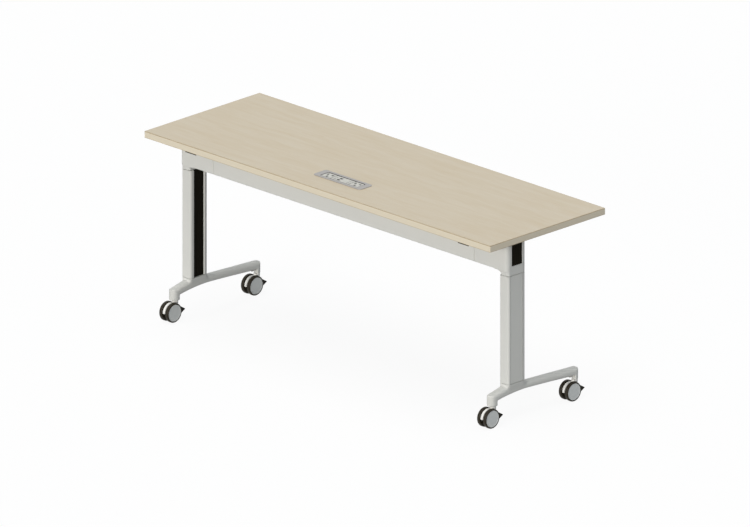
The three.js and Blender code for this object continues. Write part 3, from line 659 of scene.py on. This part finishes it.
seam = low.x - seam_gap
keeper_y = (arm_tip - keeper_setback - keeper_sheet, arm_tip - keeper_setback)
arm_x = around(-bracket_x, arm_width)
arm_root = beam_y[1] - 2 * beam_corner
rest_arm = prism("x", arm_x, [
    (arm_root, frame_top - arm_root_height),
    (arm_tip, frame_top - arm_tip_height),
    (arm_tip, frame_top),
    (arm_root, frame_top),
])
spigot_outline = rounded(shrunk(hollow_x, gap), shrunk(hollow_y, gap), hollow_corner - gap)
plug_margin = beam_wall + gap
casting = combined(
    "UNION",
    skin(tower_rings),
    skin([
        stub_ring(inner_face - neck_inset, 0),
        stub_ring(seam - end_chamfer, 0),
        stub_ring(seam, end_chamfer),
    ]),
    eased(rest_arm, 1),
    block(arm_x, keeper_y, (frame_top - reach_over, latch_z[1] + slip + keeper_lip)),
    prism("x", (seam - reach_over, seam + spigot_length), rounded(
        shrunk(beam_y, plug_margin), shrunk(beam_z, plug_margin), beam_corner)),
    prism("z", (column_head - spigot_length, column_head + reach_over), spigot_outline),
)
insert_low, insert_high = extent("casting_insert_left")
insert_y = (insert_low.y - insert_sides, insert_high.y + insert_sides)
insert_z = (insert_low.z, insert_high.z + insert_rise)
casting = combined(
    "DIFFERENCE",
    casting,
    block(
        around(-bracket_x, ear_width + 2 * slip),
        (beam_y[0] - reach_over, pivot_y + ear_radius + slip),
        (pivot_z - ear_radius - slip, frame_top + reach_over),
    ),
    shaft(
        "x", (pivot_y, pivot_z), pin_radius + gap,
        (-bracket_x - pin_reach - gap, seam + spigot_length + reach_over),
    ),
    block(
        around(-bracket_x, latch_width + 2 * slip),
        (keeper_y[0] - reach_over, keeper_y[1] + reach_over),
        (latch_z[0] - slip, latch_z[1] + slip),
    ),
    block(
        (outer_face - reach_over, outer_face + pocket_depth),
        shrunk(insert_y, -gap),
        shrunk(insert_z, -gap),
    ),
)
painted_alloy = metal_finish("Powder_coated_aluminium", paint_light, paint_shade, 0.42, 0.25)
finished_pair(casting, "Corner_casting", painted_alloy, "frame", "painted_alloy", "corner_casting")

# The covers are injection-moulded black ABS with upright ribs: long ones close the cable channels
# of the columns, short ones the outer pockets of the castings. All snap in and sit a little deep.
rib_count = 6
rib_height = 1.4
ribs_per_turn = 16
groove_span = (-0.1, 0.5)
black_abs = "#100E07"
black_worn = "#18150D"


# Moulded plastic: an even colour with faint flow marks and a fine spark-eroded grain.
def moulded(name, colour, other, roughness, specular, grain=0.7):
    material, tree, shader = new_material(name, Roughness=roughness, Specular_IOR_Level=specular)
    place = add_node(tree, "ShaderNodeTexCoord").outputs["Object"]
    tone = blended(tree, clouds(tree, place, 35, 4), colour, other)
    feed(tree, shader, Base_Color=tone, Normal=relief(tree, clouds(tree, place, grain), 0.25, 0.05))
    return material


black_cover = moulded("Black_ABS", black_abs, black_worn, 0.6, 0.04)

cover_tree, size, end = new_tree(
    "Ribbed_cover", Size="Vector", Middle="Vector", Ribs="Float", Points="Int", Rib_height="Float",
    Facing="Float", Material="Material",
)
plate = add_node(cover_tree, "GeometryNodeMeshCube", {
    "Size": size["Size"], "Vertices X": 2, "Vertices Y": size["Points"], "Vertices Z": 2,
})
here = add_node(cover_tree, "GeometryNodeInputPosition").outputs[0]
spot = add_node(cover_tree, "ShaderNodeSeparateXYZ", {0: here}).outputs
width = add_node(cover_tree, "ShaderNodeSeparateXYZ", {0: size["Size"]}).outputs["Y"]
across = maths(cover_tree, "DIVIDE", spot["Y"], width)
turns = maths(cover_tree, "MULTIPLY", across, size["Ribs"])
wave = maths(cover_tree, "COSINE", maths(cover_tree, "MULTIPLY", turns, math.tau))
groove = ramp(cover_tree, wave, *groove_span, interpolation_type="SMOOTHSTEP")
sink = maths(cover_tree, "MULTIPLY", groove, size["Rib_height"])
inward = maths(cover_tree, "MULTIPLY", sink, size["Facing"])
back = maths(cover_tree, "MULTIPLY", inward, -1)
side = maths(cover_tree, "MULTIPLY", spot["X"], size["Facing"])
shift = add_node(cover_tree, "ShaderNodeCombineXYZ", {"X": back})
ribbed = add_node(cover_tree, "GeometryNodeSetPosition", {
    "Geometry": plate.outputs["Mesh"],
    "Selection": maths(cover_tree, "GREATER_THAN", side, 0),
    "Offset": shift.outputs[0],
})
lifted = add_node(cover_tree, "GeometryNodeTransform", {
    "Geometry": ribbed.outputs[0], "Translation": size["Middle"],
})
ended(cover_tree, size, end, lifted.outputs[0])

for node, facing, sides, rise in (
    ("cable_cover_left", 1, 0, 0),
    ("cable_cover_right", -1, 0, 0),
    ("casting_insert_left", -1, insert_sides, insert_rise),
    ("casting_insert_right", 1, insert_sides, insert_rise),
):
    low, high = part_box(node)
    low, high = low - Vector((0, sides, 0)) / 1000, high + Vector((0, sides, rise)) / 1000
    cover = grown(
        cover_tree, Size=high - low, Middle=(low + high) / 2, Ribs=float(rib_count),
        Points=rib_count * ribs_per_turn + 1, Rib_height=rib_height / 1000, Facing=float(facing),
        Material=black_cover,
    )
    finished(
        outwards(cover), f"Ribbed_{node}", black_cover, "frame", "black_plastic", node, crease=50,
    )

# The columns are extruded aluminium, 48 by 100 mm, flatter in front than behind, with a cable
# channel on the inner side and a shallow seat for a flat cover strip on the outer side. Each sits
# on spigots at its ends.
column_edge = 0.5
column_steps = 14
strip_gap = 1.5
low, high = extent("column_left")
cover_low, cover_high = extent("cable_cover_left")
strip_low, strip_high = extent("side_cover_left")
shell = rounded(column_x, column_span, column_radii, column_steps)
front_half, rear_half = shell[:len(shell) // 2], shell[len(shell) // 2:]
channel_y = (cover_low.y - gap, cover_high.y + gap)
strip_y = (column_span[0] + column_brow + 1, strip_high.y + gap)
column_outline = [
    *front_half,
    (inner_face, channel_y[0]), (cable_pocket, channel_y[0]),
    (cable_pocket, channel_y[1]), (inner_face, channel_y[1]),
    *rear_half,
    (outer_face, strip_y[1]), (side_pocket, strip_y[1]),
    (side_pocket, strip_y[0]), (outer_face, strip_y[0]),
]
column = prism("z", (low.z, high.z), column_outline, rounded(hollow_x, hollow_y, hollow_corner))
column = eased(column, column_edge)
finished_pair(column, "Column", painted_steel, "frame", "painted_steel", "column")
strip = block(
    (strip_low.x, strip_high.x), shrunk(strip_y, strip_gap), (strip_low.z, strip_high.z),
)
strip = eased(strip, column_edge)
finished_pair(strip, "Cover_strip", painted_steel, "frame", "painted_steel", "side_cover")

# The feet are cast aluminium: a low arched arm that swells up to the column and turns down at
# both ends round the castor stems. The corners of the arm are round, as castings need.
foot_width = 39
toe_y = -236
toe_reach = 31
heel_y = 223
heel_reach = 24.5
stem_y = 212.5
stem_bore = 5.8
stem_top = 112.3
post_low = 80
post_wall = 4.5
post_boss = 10
post_reaches = {-stem_y: (toe_y, toe_y + toe_reach), stem_y: (heel_y, heel_y - heel_reach)}
foot_top_edge = 14
foot_under_edge = 9
foot_over_share = 0.58
foot_under_share = 0.38
toe_top = 122
toe_under = 91.5
toe_power = 2
instep_top = 139
instep_sweep = 7
arch_top = 110.5
arch_y = -60
shoulder_top = 137
heel_sweep = 8
heel_top = 125
heel_round = 8
heel_under = 94
heel_power = 1.2
base_drop = 32
base_steps = 12
seat_gap = 1.4
seat_clear = 40
arm_stride = 7
melt_grain = 1.5
melt_passes = 24
melt_spare = 12
foot_x = around(-leg_x, foot_width)
foot_end = foot_width / 2 - gap


def bent(start, middle, end, steps):
    """Points on a quadratic curve."""
    points = []
    for s in [i / steps for i in range(steps + 1)]:
        first, second, third = (1 - s) ** 2, 2 * s * (1 - s), s ** 2
        corners = zip(start, middle, end)
        points.append(tuple(first * a + second * b + third * c for a, b, c in corners))
    return points


def finer(points, longest):
    """The same line with points added where they are further apart than this."""
    made = [points[0]]
    for (a, b), (c, d) in zip(points, points[1:]):
        steps = max(1, math.ceil((c - a) / longest))
        made += [(a + (c - a) * i / steps, b + (d - b) * i / steps) for i in range(1, steps + 1)]
    return made


def underside(y):
    """The height of the arm's hollow underside, which falls off to the toe and the heel."""
    if y < arch_y:
        return arch_top - (arch_top - toe_under) * ((arch_y - y) / (arch_y - toe_y)) ** toe_power
    return arch_top - (arch_top - heel_under) * ((y - arch_y) / (heel_y - arch_y)) ** heel_power


front_y, rear_y = column_span
top_line = [
    (toe_y, toe_top),
    *bent((front_y - instep_sweep, instep_top), (front_y, instep_top), (front_y, column_foot), 8),
    *bent((rear_y, column_foot), (rear_y, shoulder_top), (rear_y + heel_sweep, shoulder_top), 8),
    *arc((heel_y - heel_round, heel_top - heel_round), heel_round, 90, 0, 6),
]


def arm_ring(y, top):
    """The section of the arm at a place along it, with rounder edges above than below."""
    low, height = underside(y), top - underside(y)
    over = min(foot_top_edge, height * foot_over_share)
    under = min(foot_under_edge, height * foot_under_share)
    return [(x, y, z) for z, x in rounded((low, top), foot_x, (under, over, over, under))]


arm = skin([arm_ring(y, top) for y, top in finer(top_line, arm_stride)])
arm = combined("INTERSECT", arm, prism(
    "z", (post_low, column_foot + reach_over), rounded(foot_x, (toe_y, heel_y), foot_end, 16)))


def foot_post(y, height):
    """The solid end of the foot, turned down round the castor stem at this place."""
    end, open_side = post_reaches[y]
    radii = (foot_end, foot_end, post_wall / 2, post_wall / 2)
    radii = radii if end < open_side else radii[::-1]
    span = tuple(sorted((end, open_side)))
    return prism("z", (post_low, height), rounded(foot_x, span, radii, 12))


def foot_pocket(y, height):
    """The space inside an end of the foot, round the stem's boss and open towards the middle."""
    end, open_side = post_reaches[y]
    across = shrunk(foot_x, post_wall)
    span = shrunk(tuple(sorted((end, 2 * open_side - end))), post_wall)
    outline = rounded(across, span, foot_end - post_wall, 12)
    space = prism("z", (post_low - reach_over, height), outline)
    boss_z = (post_low - 2 * reach_over, height + reach_over)
    return combined("DIFFERENCE", space, shaft("z", (-leg_x, y), post_boss, boss_z))


def melted(thing):
    """Melts the joints and edges of a draft into the round fillets of a casting."""
    step = thing.modifiers.new("Melt", "REMESH")
    step.mode, step.voxel_size = "VOXEL", melt_grain / 1000
    step = thing.modifiers.new("Soften", "SMOOTH")
    step.factor, step.iterations = 0.5, melt_passes
    thing.data = evaluated(thing)
    return thing


base_rings = []
for i in range(base_steps + 1):
    share = i / base_steps
    swell = (1 - math.cos(math.pi * share)) / 2
    width = between(swell, foot_width, column_width)
    radii = tuple(between(swell, min(column_nose, foot_end), radius) for radius in column_radii)
    outline = rounded(around(-leg_x, width), shrunk(column_span, heel_sweep * (swell - 1)), radii)
    base_rings.append([(x, y, column_foot - base_drop * (1 - share)) for x, y in outline])
base_rings.append([(x, y, column_foot + melt_spare) for x, y, z in base_rings[-1]])
foot = melted(combined(
    "UNION", arm, skin(base_rings),
    *[foot_post(y, underside(y) + foot_under_edge) for y in post_reaches],
))
foot = combined(
    "DIFFERENCE", foot,
    block(
        around(-leg_x, 2 * column_width),
        around(column_y, 2 * column_depth),
        (column_foot - seat_gap, column_foot + seat_clear),
    ),
    *[foot_pocket(y, underside(y)) for y in post_reaches],
    *[shaft("z", (-leg_x, y), stem_bore, (post_low - reach_over, stem_top)) for y in post_reaches],
)
spigot_z = (column_foot - 2 * reach_over, column_foot + spigot_length)
foot = combined("UNION", foot, prism("z", spigot_z, spigot_outline))
finished_pair(foot, "Foot", painted_alloy, "frame", "painted_alloy", "foot")

# The castors have two 75 mm wheels each, with a soft dark tyre on a nylon wheel and a grey cap. A
# light nylon hood arches between them, and a black pedal behind presses a brake onto both.
wheel_radius = 37.5
wheel_inner = 8.25
wheel_outer = 23.25
wheel_steps = 72
tread_round = 4
cap_radius = 32
cap_face = 22.75
cap_back = 20.85
cap_rim = 3.5
cap_dish = 0.5
axle_bore = 4.3
trail = 24
axle = (-trail, wheel_radius)
hood_radius = 35
hood_inner_radius = 28
hood_half = 7.75
fender_half = 5.25
fender_angles = (55, 180)
hood_cheek = 2.5
hood_boss = 9
neck_y = (axle[0] + 14.5, axle[0] + 32)
neck_z = (axle[1] + 22, axle[1] + 33)
collar_radius = 12
collar_top = 77.4
collar_height = 8.5
collar_round = 1.5
wheel_clear = 38.7
rocker_radius = 27.4
rocker_half = 4.9
rocker_top_angle = 20.25
pedal_width = 37
pedal_top_angle = 27
pedal_low_angle = -16
pedal_tip = (axle[0] + 58, axle[1] + 3.4)
pedal_sheet = 2.4
stem_span = (62, 112)
stem_radius = 5.5
stem_edge = 0.5
flange_radius = 8
flange_z = (77.7, 79.7)

tyre_rubber = moulded("Polyurethane_tyre", "#221D13", "#2B2519", 0.45, 0.2, grain=1.2)
cap_nylon = moulded("Grey_nylon", "#DADCDA", "#D6D8D6", 0.5, 0.2)
hood_nylon = moulded("Light_nylon", "#EFEDE8", "#EAE8E3", 0.5, 0.25)
pedal_nylon = moulded("Black_nylon", "#17150E", "#1F1C14", 0.55, 0.12)
zinc = metal_finish("Zinc_plated_steel", "#B9B9B6", "#ABABA8", 0.35, 0.5, metallic=0.9)

tread_low, tread_high = wheel_inner + tread_round, wheel_outer - tread_round
shoulder = wheel_radius - tread_round
wheel = turned("x", axle, [
    (axle_bore, wheel_inner),
    *arc((shoulder, tread_low), tread_round, -90, 0, 6),
    *arc((shoulder, tread_high), tread_round, 0, 90, 6),
    (cap_radius + gap, wheel_outer),
    (cap_radius + gap, cap_back - gap),
    (axle_bore, cap_back - gap),
    (axle_bore, wheel_inner),
], wheel_steps)
dish = cap_radius - cap_rim
cap = turned("x", axle, [
    (0, cap_back),
    (cap_radius, cap_back),
    (cap_radius, cap_face - cap_dish),
    *arc((cap_radius - cap_dish, cap_face - cap_dish), cap_dish, 0, 90, 3),
    (dish, cap_face),
    (dish - cap_dish, cap_face - cap_dish),
    (0, cap_face - cap_dish),
], wheel_steps)
fender = prism("x", (-fender_half, fender_half), [
    *arc(axle, hood_radius, *fender_angles, 32),
    *arc(axle, hood_inner_radius, *fender_angles[::-1], 32),
])
cheek = prism("x", (-hood_half, hood_half), [
    (neck_y[1], neck_z[0]),
    (neck_y[1], neck_z[1]),
    (axle[0], axle[1] + hood_inner_radius),
    (axle[0] - hood_boss, axle[1] + hood_boss),
    *arc(axle, hood_boss, 180, 360, 20),
    (axle[0] + hood_boss, axle[1] + hood_boss),
])
collar = turned("z", (0, 0), [
    (0, collar_top - collar_height),
    (collar_radius, collar_top - collar_height),
    (collar_radius, collar_top - collar_round),
    *arc((collar_radius - collar_round, collar_top - collar_round), collar_round, 0, 90, 4),
    (0, collar_top),
])
hood = combined("UNION", fender, cheek, block((-hood_half, hood_half), neck_y, neck_z), collar)
hood = combined(
    "DIFFERENCE", hood,
    shaft("x", axle, wheel_clear, (-collar_radius - reach_over, -hood_half), wheel_steps),
    shaft("x", axle, wheel_clear, (hood_half, collar_radius + reach_over), wheel_steps),
    shaft("x", axle, hood_inner_radius, shrunk((-hood_half, hood_half), hood_cheek), wheel_steps),
    shaft("x", axle, axle_bore, (-hood_half - reach_over, hood_half + reach_over)),
    shaft("z", (0, 0), stem_bore, (stem_span[0] - gap, collar_top + reach_over)),
)
pedal_wedge = prism("x", around(0, pedal_width), [
    *arc(axle, wheel_clear, pedal_top_angle, pedal_low_angle, 16),
    (pedal_tip[0], pedal_tip[1] - pedal_sheet),
    pedal_tip,
])
pedal_root = arc(axle, wheel_clear + reach_over, pedal_low_angle, rocker_top_angle, 12)
pedal = combined(
    "UNION",
    shaft("x", axle, rocker_radius, (-rocker_half, rocker_half), wheel_steps),
    prism("x", (-rocker_half, rocker_half), [*pedal_root, axle]),
    eased(pedal_wedge, 1, 3),
)
pedal_bore_x = (-rocker_half - reach_over, rocker_half + reach_over)
pedal = combined("DIFFERENCE", pedal, shaft("x", axle, axle_bore, pedal_bore_x))
stem = turned("z", (0, 0), [
    (0, stem_span[0]),
    (stem_radius - stem_edge, stem_span[0]),
    (stem_radius, stem_span[0] + stem_edge),
    (stem_radius, flange_z[0]),
    (flange_radius, flange_z[0]),
    (flange_radius, flange_z[1]),
    (stem_radius, flange_z[1]),
    (stem_radius, stem_span[1] - stem_edge),
    (stem_radius - stem_edge, stem_span[1]),
    (0, stem_span[1]),
], 48)

for end, y in (("front", -stem_y), ("rear", stem_y)):
    for leg, x in (("left", -leg_x), ("right", leg_x)):
        place, spot = f"{end}_{leg}", (x, y, 0)
        for part, label, material, body, slot, node in (
            (hood, "Hood", hood_nylon, f"{place}_fork", "hood_plastic", "hood"),
            (pedal, "Pedal", pedal_nylon, f"{place}_pedal", "black_plastic", "brake_pedal"),
            (stem, "Stem", zinc, "frame", "bare_steel", "stem"),
        ):
            name, stands_for = f"{label}_{place}", f"castor_{place}_{node}"
            finished(copied(part, spot), name, material, body, slot, stands_for)
        dressed(zinc, f"castor_{place}_axle")
        for side, mirror in (("left", True), ("right", False)):
            for part, label, material, slot, node in (
                (wheel, "Tyre", tyre_rubber, "tyre_rubber", "wheel"),
                (cap, "Cap", cap_nylon, "cap_plastic", "cap"),
            ):
                name, stands_for = f"{label}_{place}_{side}", f"castor_{place}_{node}_{side}"
                body = f"{place}_wheel_{side}"
                finished(copied(part, spot, mirror), name, material, body, slot, stands_for)
for spare in (hood, pedal, stem, wheel, cap):
    bpy.data.objects.remove(spare)

# The flip brackets are channels of 3 mm steel, bent, punched and coated black, screwed under the
# top. Each has a welded ear that turns on a pivot pin, and two guides that carry a latch bar.
bracket_y = (-250, 190)
bracket_z = (690, 714.7)
bracket_width = 54
bracket_sheet = 3
bracket_fold = 4
lip_drop = 3
weld = 1
pin_edge = 0.7
guide_width = 12
guide_sheet = 2.5
guide_middles = (170, 30)
screw_rows = (-225, -105, 0, 110)
screw_spread = 17
screw_head = 4.2
screw_rise = 2.4
screw_slot = 1.1

black_steel = metal_finish("Black_coated_steel", "#1B1B1A", "#232322", 0.5, 0.15)
outer_edges = around(-bracket_x, bracket_width)
inner_edges = shrunk(outer_edges, bracket_sheet)
fold_z = bracket_z[1] - bracket_fold
web_low = bracket_z[1] - bracket_sheet
channel = [
    (outer_edges[0], bracket_z[0]),
    *arc((outer_edges[0] + bracket_fold, fold_z), bracket_fold, 180, 90, 6),
    *arc((outer_edges[1] - bracket_fold, fold_z), bracket_fold, 90, 0, 6),
    (outer_edges[1], bracket_z[0]),
    (inner_edges[1], bracket_z[0]),
    (inner_edges[1], web_low),
    (inner_edges[0], web_low),
    (inner_edges[0], bracket_z[0]),
]
ear = prism("x", around(-bracket_x, ear_width), [
    (pivot_y + ear_radius, web_low + weld),
    (pivot_y - ear_radius, web_low + weld),
    *arc((pivot_y, pivot_z), ear_radius, 180, 360, 24),
])
guides = [
    block(
        shrunk(outer_edges, bracket_sheet / 2),
        around(middle, guide_width),
        (latch_z[0] - gap - guide_sheet, latch_z[0] - gap),
    )
    for middle in guide_middles
]
lip_y = (bracket_y[0], bracket_y[0] + bracket_sheet)
lip = block(outer_edges, lip_y, (bracket_z[0] - lip_drop, web_low + weld))
bracket = combined("UNION", prism("y", bracket_y, channel), ear, lip, *guides)
ear_bore_x = around(-bracket_x, ear_width + 2 * reach_over)
bracket = combined(
    "DIFFERENCE", bracket, shaft("x", (pivot_y, pivot_z), pin_radius + gap, ear_bore_x),
)
finished_pair(bracket, "Flip_bracket", black_steel, "top", "black_steel", "flip_bracket")

pin_low, pin_high = extent("pivot_pin_left")
pin = turned("x", (pivot_y, pivot_z), [
    (0, pin_low.x),
    (pin_radius - pin_edge, pin_low.x),
    (pin_radius, pin_low.x + pin_edge),
    (pin_radius, pin_high.x - pin_edge),
    (pin_radius - pin_edge, pin_high.x),
    (0, pin_high.x),
], 40)
finished_pair(pin, "Pivot_pin", zinc, "frame", "bare_steel", "pivot_pin")

screw_tree, size, screw_end = new_tree(
    "Screws_at_points", Head="Float", Rise="Float", Slot="Float", Material="Material",
)
dome = add_node(screw_tree, "GeometryNodeMeshUVSphere", {
    "Segments": 20, "Rings": 12, "Radius": size["Head"],
})
flat = maths(screw_tree, "DIVIDE", size["Rise"], size["Head"])
press = add_node(screw_tree, "ShaderNodeCombineXYZ", {"X": 1, "Y": 1, "Z": flat})
head = add_node(screw_tree, "GeometryNodeTransform", {
    "Geometry": dome.outputs["Mesh"], "Scale": press.outputs[0],
})
recess = add_node(screw_tree, "GeometryNodeMeshBoolean", {
    "Mesh 1": head.outputs[0],
}, operation="DIFFERENCE")
deep = maths(screw_tree, "MULTIPLY", size["Rise"], 1.2)
wide = maths(screw_tree, "MULTIPLY", size["Slot"], 4)
below = add_node(screw_tree, "ShaderNodeCombineXYZ", {
    "Z": maths(screw_tree, "MULTIPLY", size["Rise"], -1),
})
for long_axis, short_axis in (("X", "Y"), ("Y", "X")):
    bar_size = add_node(screw_tree, "ShaderNodeCombineXYZ", {
        long_axis: wide, short_axis: size["Slot"], "Z": deep,
    })
    bar = add_node(screw_tree, "GeometryNodeMeshCube", {"Size": bar_size.outputs[0]})
    sunk = add_node(screw_tree, "GeometryNodeTransform", {
        "Geometry": bar.outputs["Mesh"], "Translation": below.outputs[0],
    })
    screw_tree.links.new(sunk.outputs[0], recess.inputs["Mesh 2"])
spread = add_node(screw_tree, "GeometryNodeInstanceOnPoints", {
    "Points": size["Geometry"], "Instance": recess.outputs[0],
})
ended(screw_tree, size, screw_end, spread.outputs[0])
points = bpy.data.meshes.new("Draft")
points.from_pydata([
    ((side * bracket_x + offset * screw_spread) / 1000, y / 1000, web_low / 1000)
    for side in (-1, 1) for y in screw_rows for offset in (-1, 1)
], [], [])
screws = grown(
    screw_tree, points, Head=screw_head / 1000, Rise=screw_rise / 1000, Slot=screw_slot / 1000,
    Material=zinc,
)
finished(outwards(screws), "Bracket_screws", zinc, "top", "bare_steel")

# The latch is two flat bars of plated steel that slide in the guides and hook into the keepers,
# fastened to one round-edged black pull bar along the seat side.
pull_radius = 4
pull_end = 3
latch_edge = 0.8
low, high = extent("latch_pull_bar")
pull_y, pull_z = (low.y, high.y), (low.z, high.z)


def pull_ring(x, inset):
    outline = rounded(shrunk(pull_y, inset), shrunk(pull_z, inset), pull_radius - inset / 2)
    return [(x, y, z) for y, z in outline]


soft_grip = moulded("Black_soft_grip", "#1B1A18", "#24221F", 0.6, 0.15)
pull_ends = arc((pull_end, pull_end), pull_end, 270, 180, 5)
pull_bar = skin([
    *[pull_ring(low.x + along, inset) for inset, along in pull_ends],
    *[pull_ring(high.x - along, inset) for inset, along in reversed(pull_ends)],
])
finished(pull_bar, "Pull_bar", soft_grip, "latch", "black_plastic", "latch_pull_bar")
low, high = extent("latch_bar_left")
latch_bar = eased(block((low.x, high.x), (low.y, high.y), (low.z, high.z)), latch_edge)
finished_pair(latch_bar, "Latch_bar", zinc, "latch", "bare_steel", "latch_bar")

# The outlet: a satin-anodised aluminium bezel lies on the top, and its skirt goes through the
# cut-out into a black housing. Two socket modules and a data plate snap into it, a little below
# its rim. A black sheet round them and black blocks behind them are painted shade in the gaps
# and openings of the well.
outlet_y = -166
bezel_size = (245, 70)
bezel_corner = 11
bezel_edge = 0.8
bezel_height = 2
well_size = (193, 46)
well_corner = 3
skirt_wall = 1.5
skirt_bottom = 728
# Painted shade: a black sheet fills the gap between the bezel's skirt and the modules.
shade_sheet_wall = 1.2
shade_sheet_depth = 0.4
shade_sheet_corner = 2.5
# Painted shade: black blocks behind the thin face plates show through their openings.
shade_block_depth = 0.6
shade_block_reach = 94.7
module_sink = 1.2
module_width = 39.5
module_corner = 1.5
module_edge = 0.25
opening_corner = 0.8
socket_length = 46.2
socket_middle = 71.4
pin_rows = (7, -11)
pin_spread = 12
pin_opening = (8, 11)
plate_length = 91.4
port_x = -13
port_rows = (6, -10)
port_opening = (14, 10)
filler_middle = 32.9
filler_opening = (2.4, 35)
bezel_light = "#ABA8A6"
bezel_shade = "#9F9C9A"

# Satin anodised aluminium: fine brushing along the bezel, under a dull sheen.
bezel_metal, tree, shader = new_material(
    "Satin_anodised_aluminium", Metallic=0.55, Roughness=0.38,
)
place = add_node(tree, "ShaderNodeTexCoord").outputs["Object"]
stroke = clouds(tree, stretched(tree, place, 1 / 30, 1, 1), 0.9, 3)
tone = blended(tree, stroke, bezel_light, bezel_shade)
feed(tree, shader, Base_Color=tone, Normal=relief(tree, stroke, 0.2, 0.04))
module_plastic = moulded("White_polycarbonate", "#CDCBC3", "#C8C6BE", 0.4, 0.3)
# Black plastic of the housing and gland, also used as painted shade in the outlet's well.
black_housing_and_shade = moulded("Black_polyamide_and_shade", "#191816", "#22201D", 0.6, 0.15)

bezel_low = top_height + gap
bezel_high = bezel_low + bezel_height
module_face = bezel_high - module_sink


def outlet_outline(size, corner, inset=0, steps=10):
    """A rounded outline round the middle of the outlet, drawn in by an inset."""
    length, width = [side - 2 * inset for side in size]
    return rounded(around(0, length), around(outlet_y, width), corner - inset, steps)


def bezel_ring(size, corner, inset, height):
    return [(x, y, height) for x, y in outlet_outline(size, corner, inset)]


rim, well = (bezel_size, bezel_corner), (well_size, well_corner)
edge_middle = (0, bezel_high - bezel_edge)
bezel = skin([
    bezel_ring(*rim, 0, bezel_low),
    *[bezel_ring(*rim, bezel_edge - x, z) for x, z in arc(edge_middle, bezel_edge, 0, 90, 4)],
    *[bezel_ring(*well, x - bezel_edge, z) for x, z in arc(edge_middle, bezel_edge, 90, 0, 4)],
    bezel_ring(*well, 0, skirt_bottom),
    bezel_ring(*well, -skirt_wall, skirt_bottom),
    bezel_ring(*well, -skirt_wall, bezel_low),
], "joined")
finished(bezel, "Outlet_bezel", bezel_metal, "top", "bezel_metal", "outlet_bezel")

# Painted shade: this black sheet stands for the shadow in the gap round the modules.
shade_sheet = prism("z", (skirt_bottom, bezel_high - shade_sheet_depth), *[
    outlet_outline(well_size, shade_sheet_corner + inset, inset) for inset in (gap, gap + shade_sheet_wall)
])
finished(shade_sheet, "Well_shade_sheet", black_housing_and_shade, "top", "black_plastic")


def module(name, node, middle, length, openings):
    """A light face plate with its openings, on a black block of painted shade that shows through
    them.
    """
    outline = rounded(around(middle, length), around(outlet_y, module_width), module_corner, 5)
    holes = [
        rounded(around(x, size[0]), around(outlet_y + y, size[1]), opening_corner, 4)
        for x, y, size in openings
    ]
    face = prism("z", (module_face - shade_block_depth, module_face), outline, *holes)
    finished(eased(face, module_edge), name, module_plastic, "top", "module_plastic", node)
    low, high = extent(node)
    across = max(low.x, -shade_block_reach), min(high.x, shade_block_reach)
    shade_block_outline = rounded(across, (low.y, high.y), module_corner, 5)
    shade_block = prism("z", (low.z, module_face - shade_block_depth), shade_block_outline)
    finished(shade_block, f"{name}_carrier", black_housing_and_shade, "top", "black_plastic")


for side, middle in (("left", -socket_middle), ("right", socket_middle)):
    module(f"Socket_module_{side}", f"socket_{side}", middle, socket_length, [
        (middle - pin_spread, pin_rows[0], pin_opening),
        (middle + pin_spread, pin_rows[0], pin_opening[::-1]),
        (middle, pin_rows[1], pin_opening),
    ])
module("Data_plate", "data_plate", 0, plate_length, [
    *[(port_x, row, port_opening) for row in port_rows],
    (-filler_middle, 0, filler_opening), (filler_middle, 0, filler_opening),
])
dressed(black_housing_and_shade, "outlet_housing", "cable_gland")
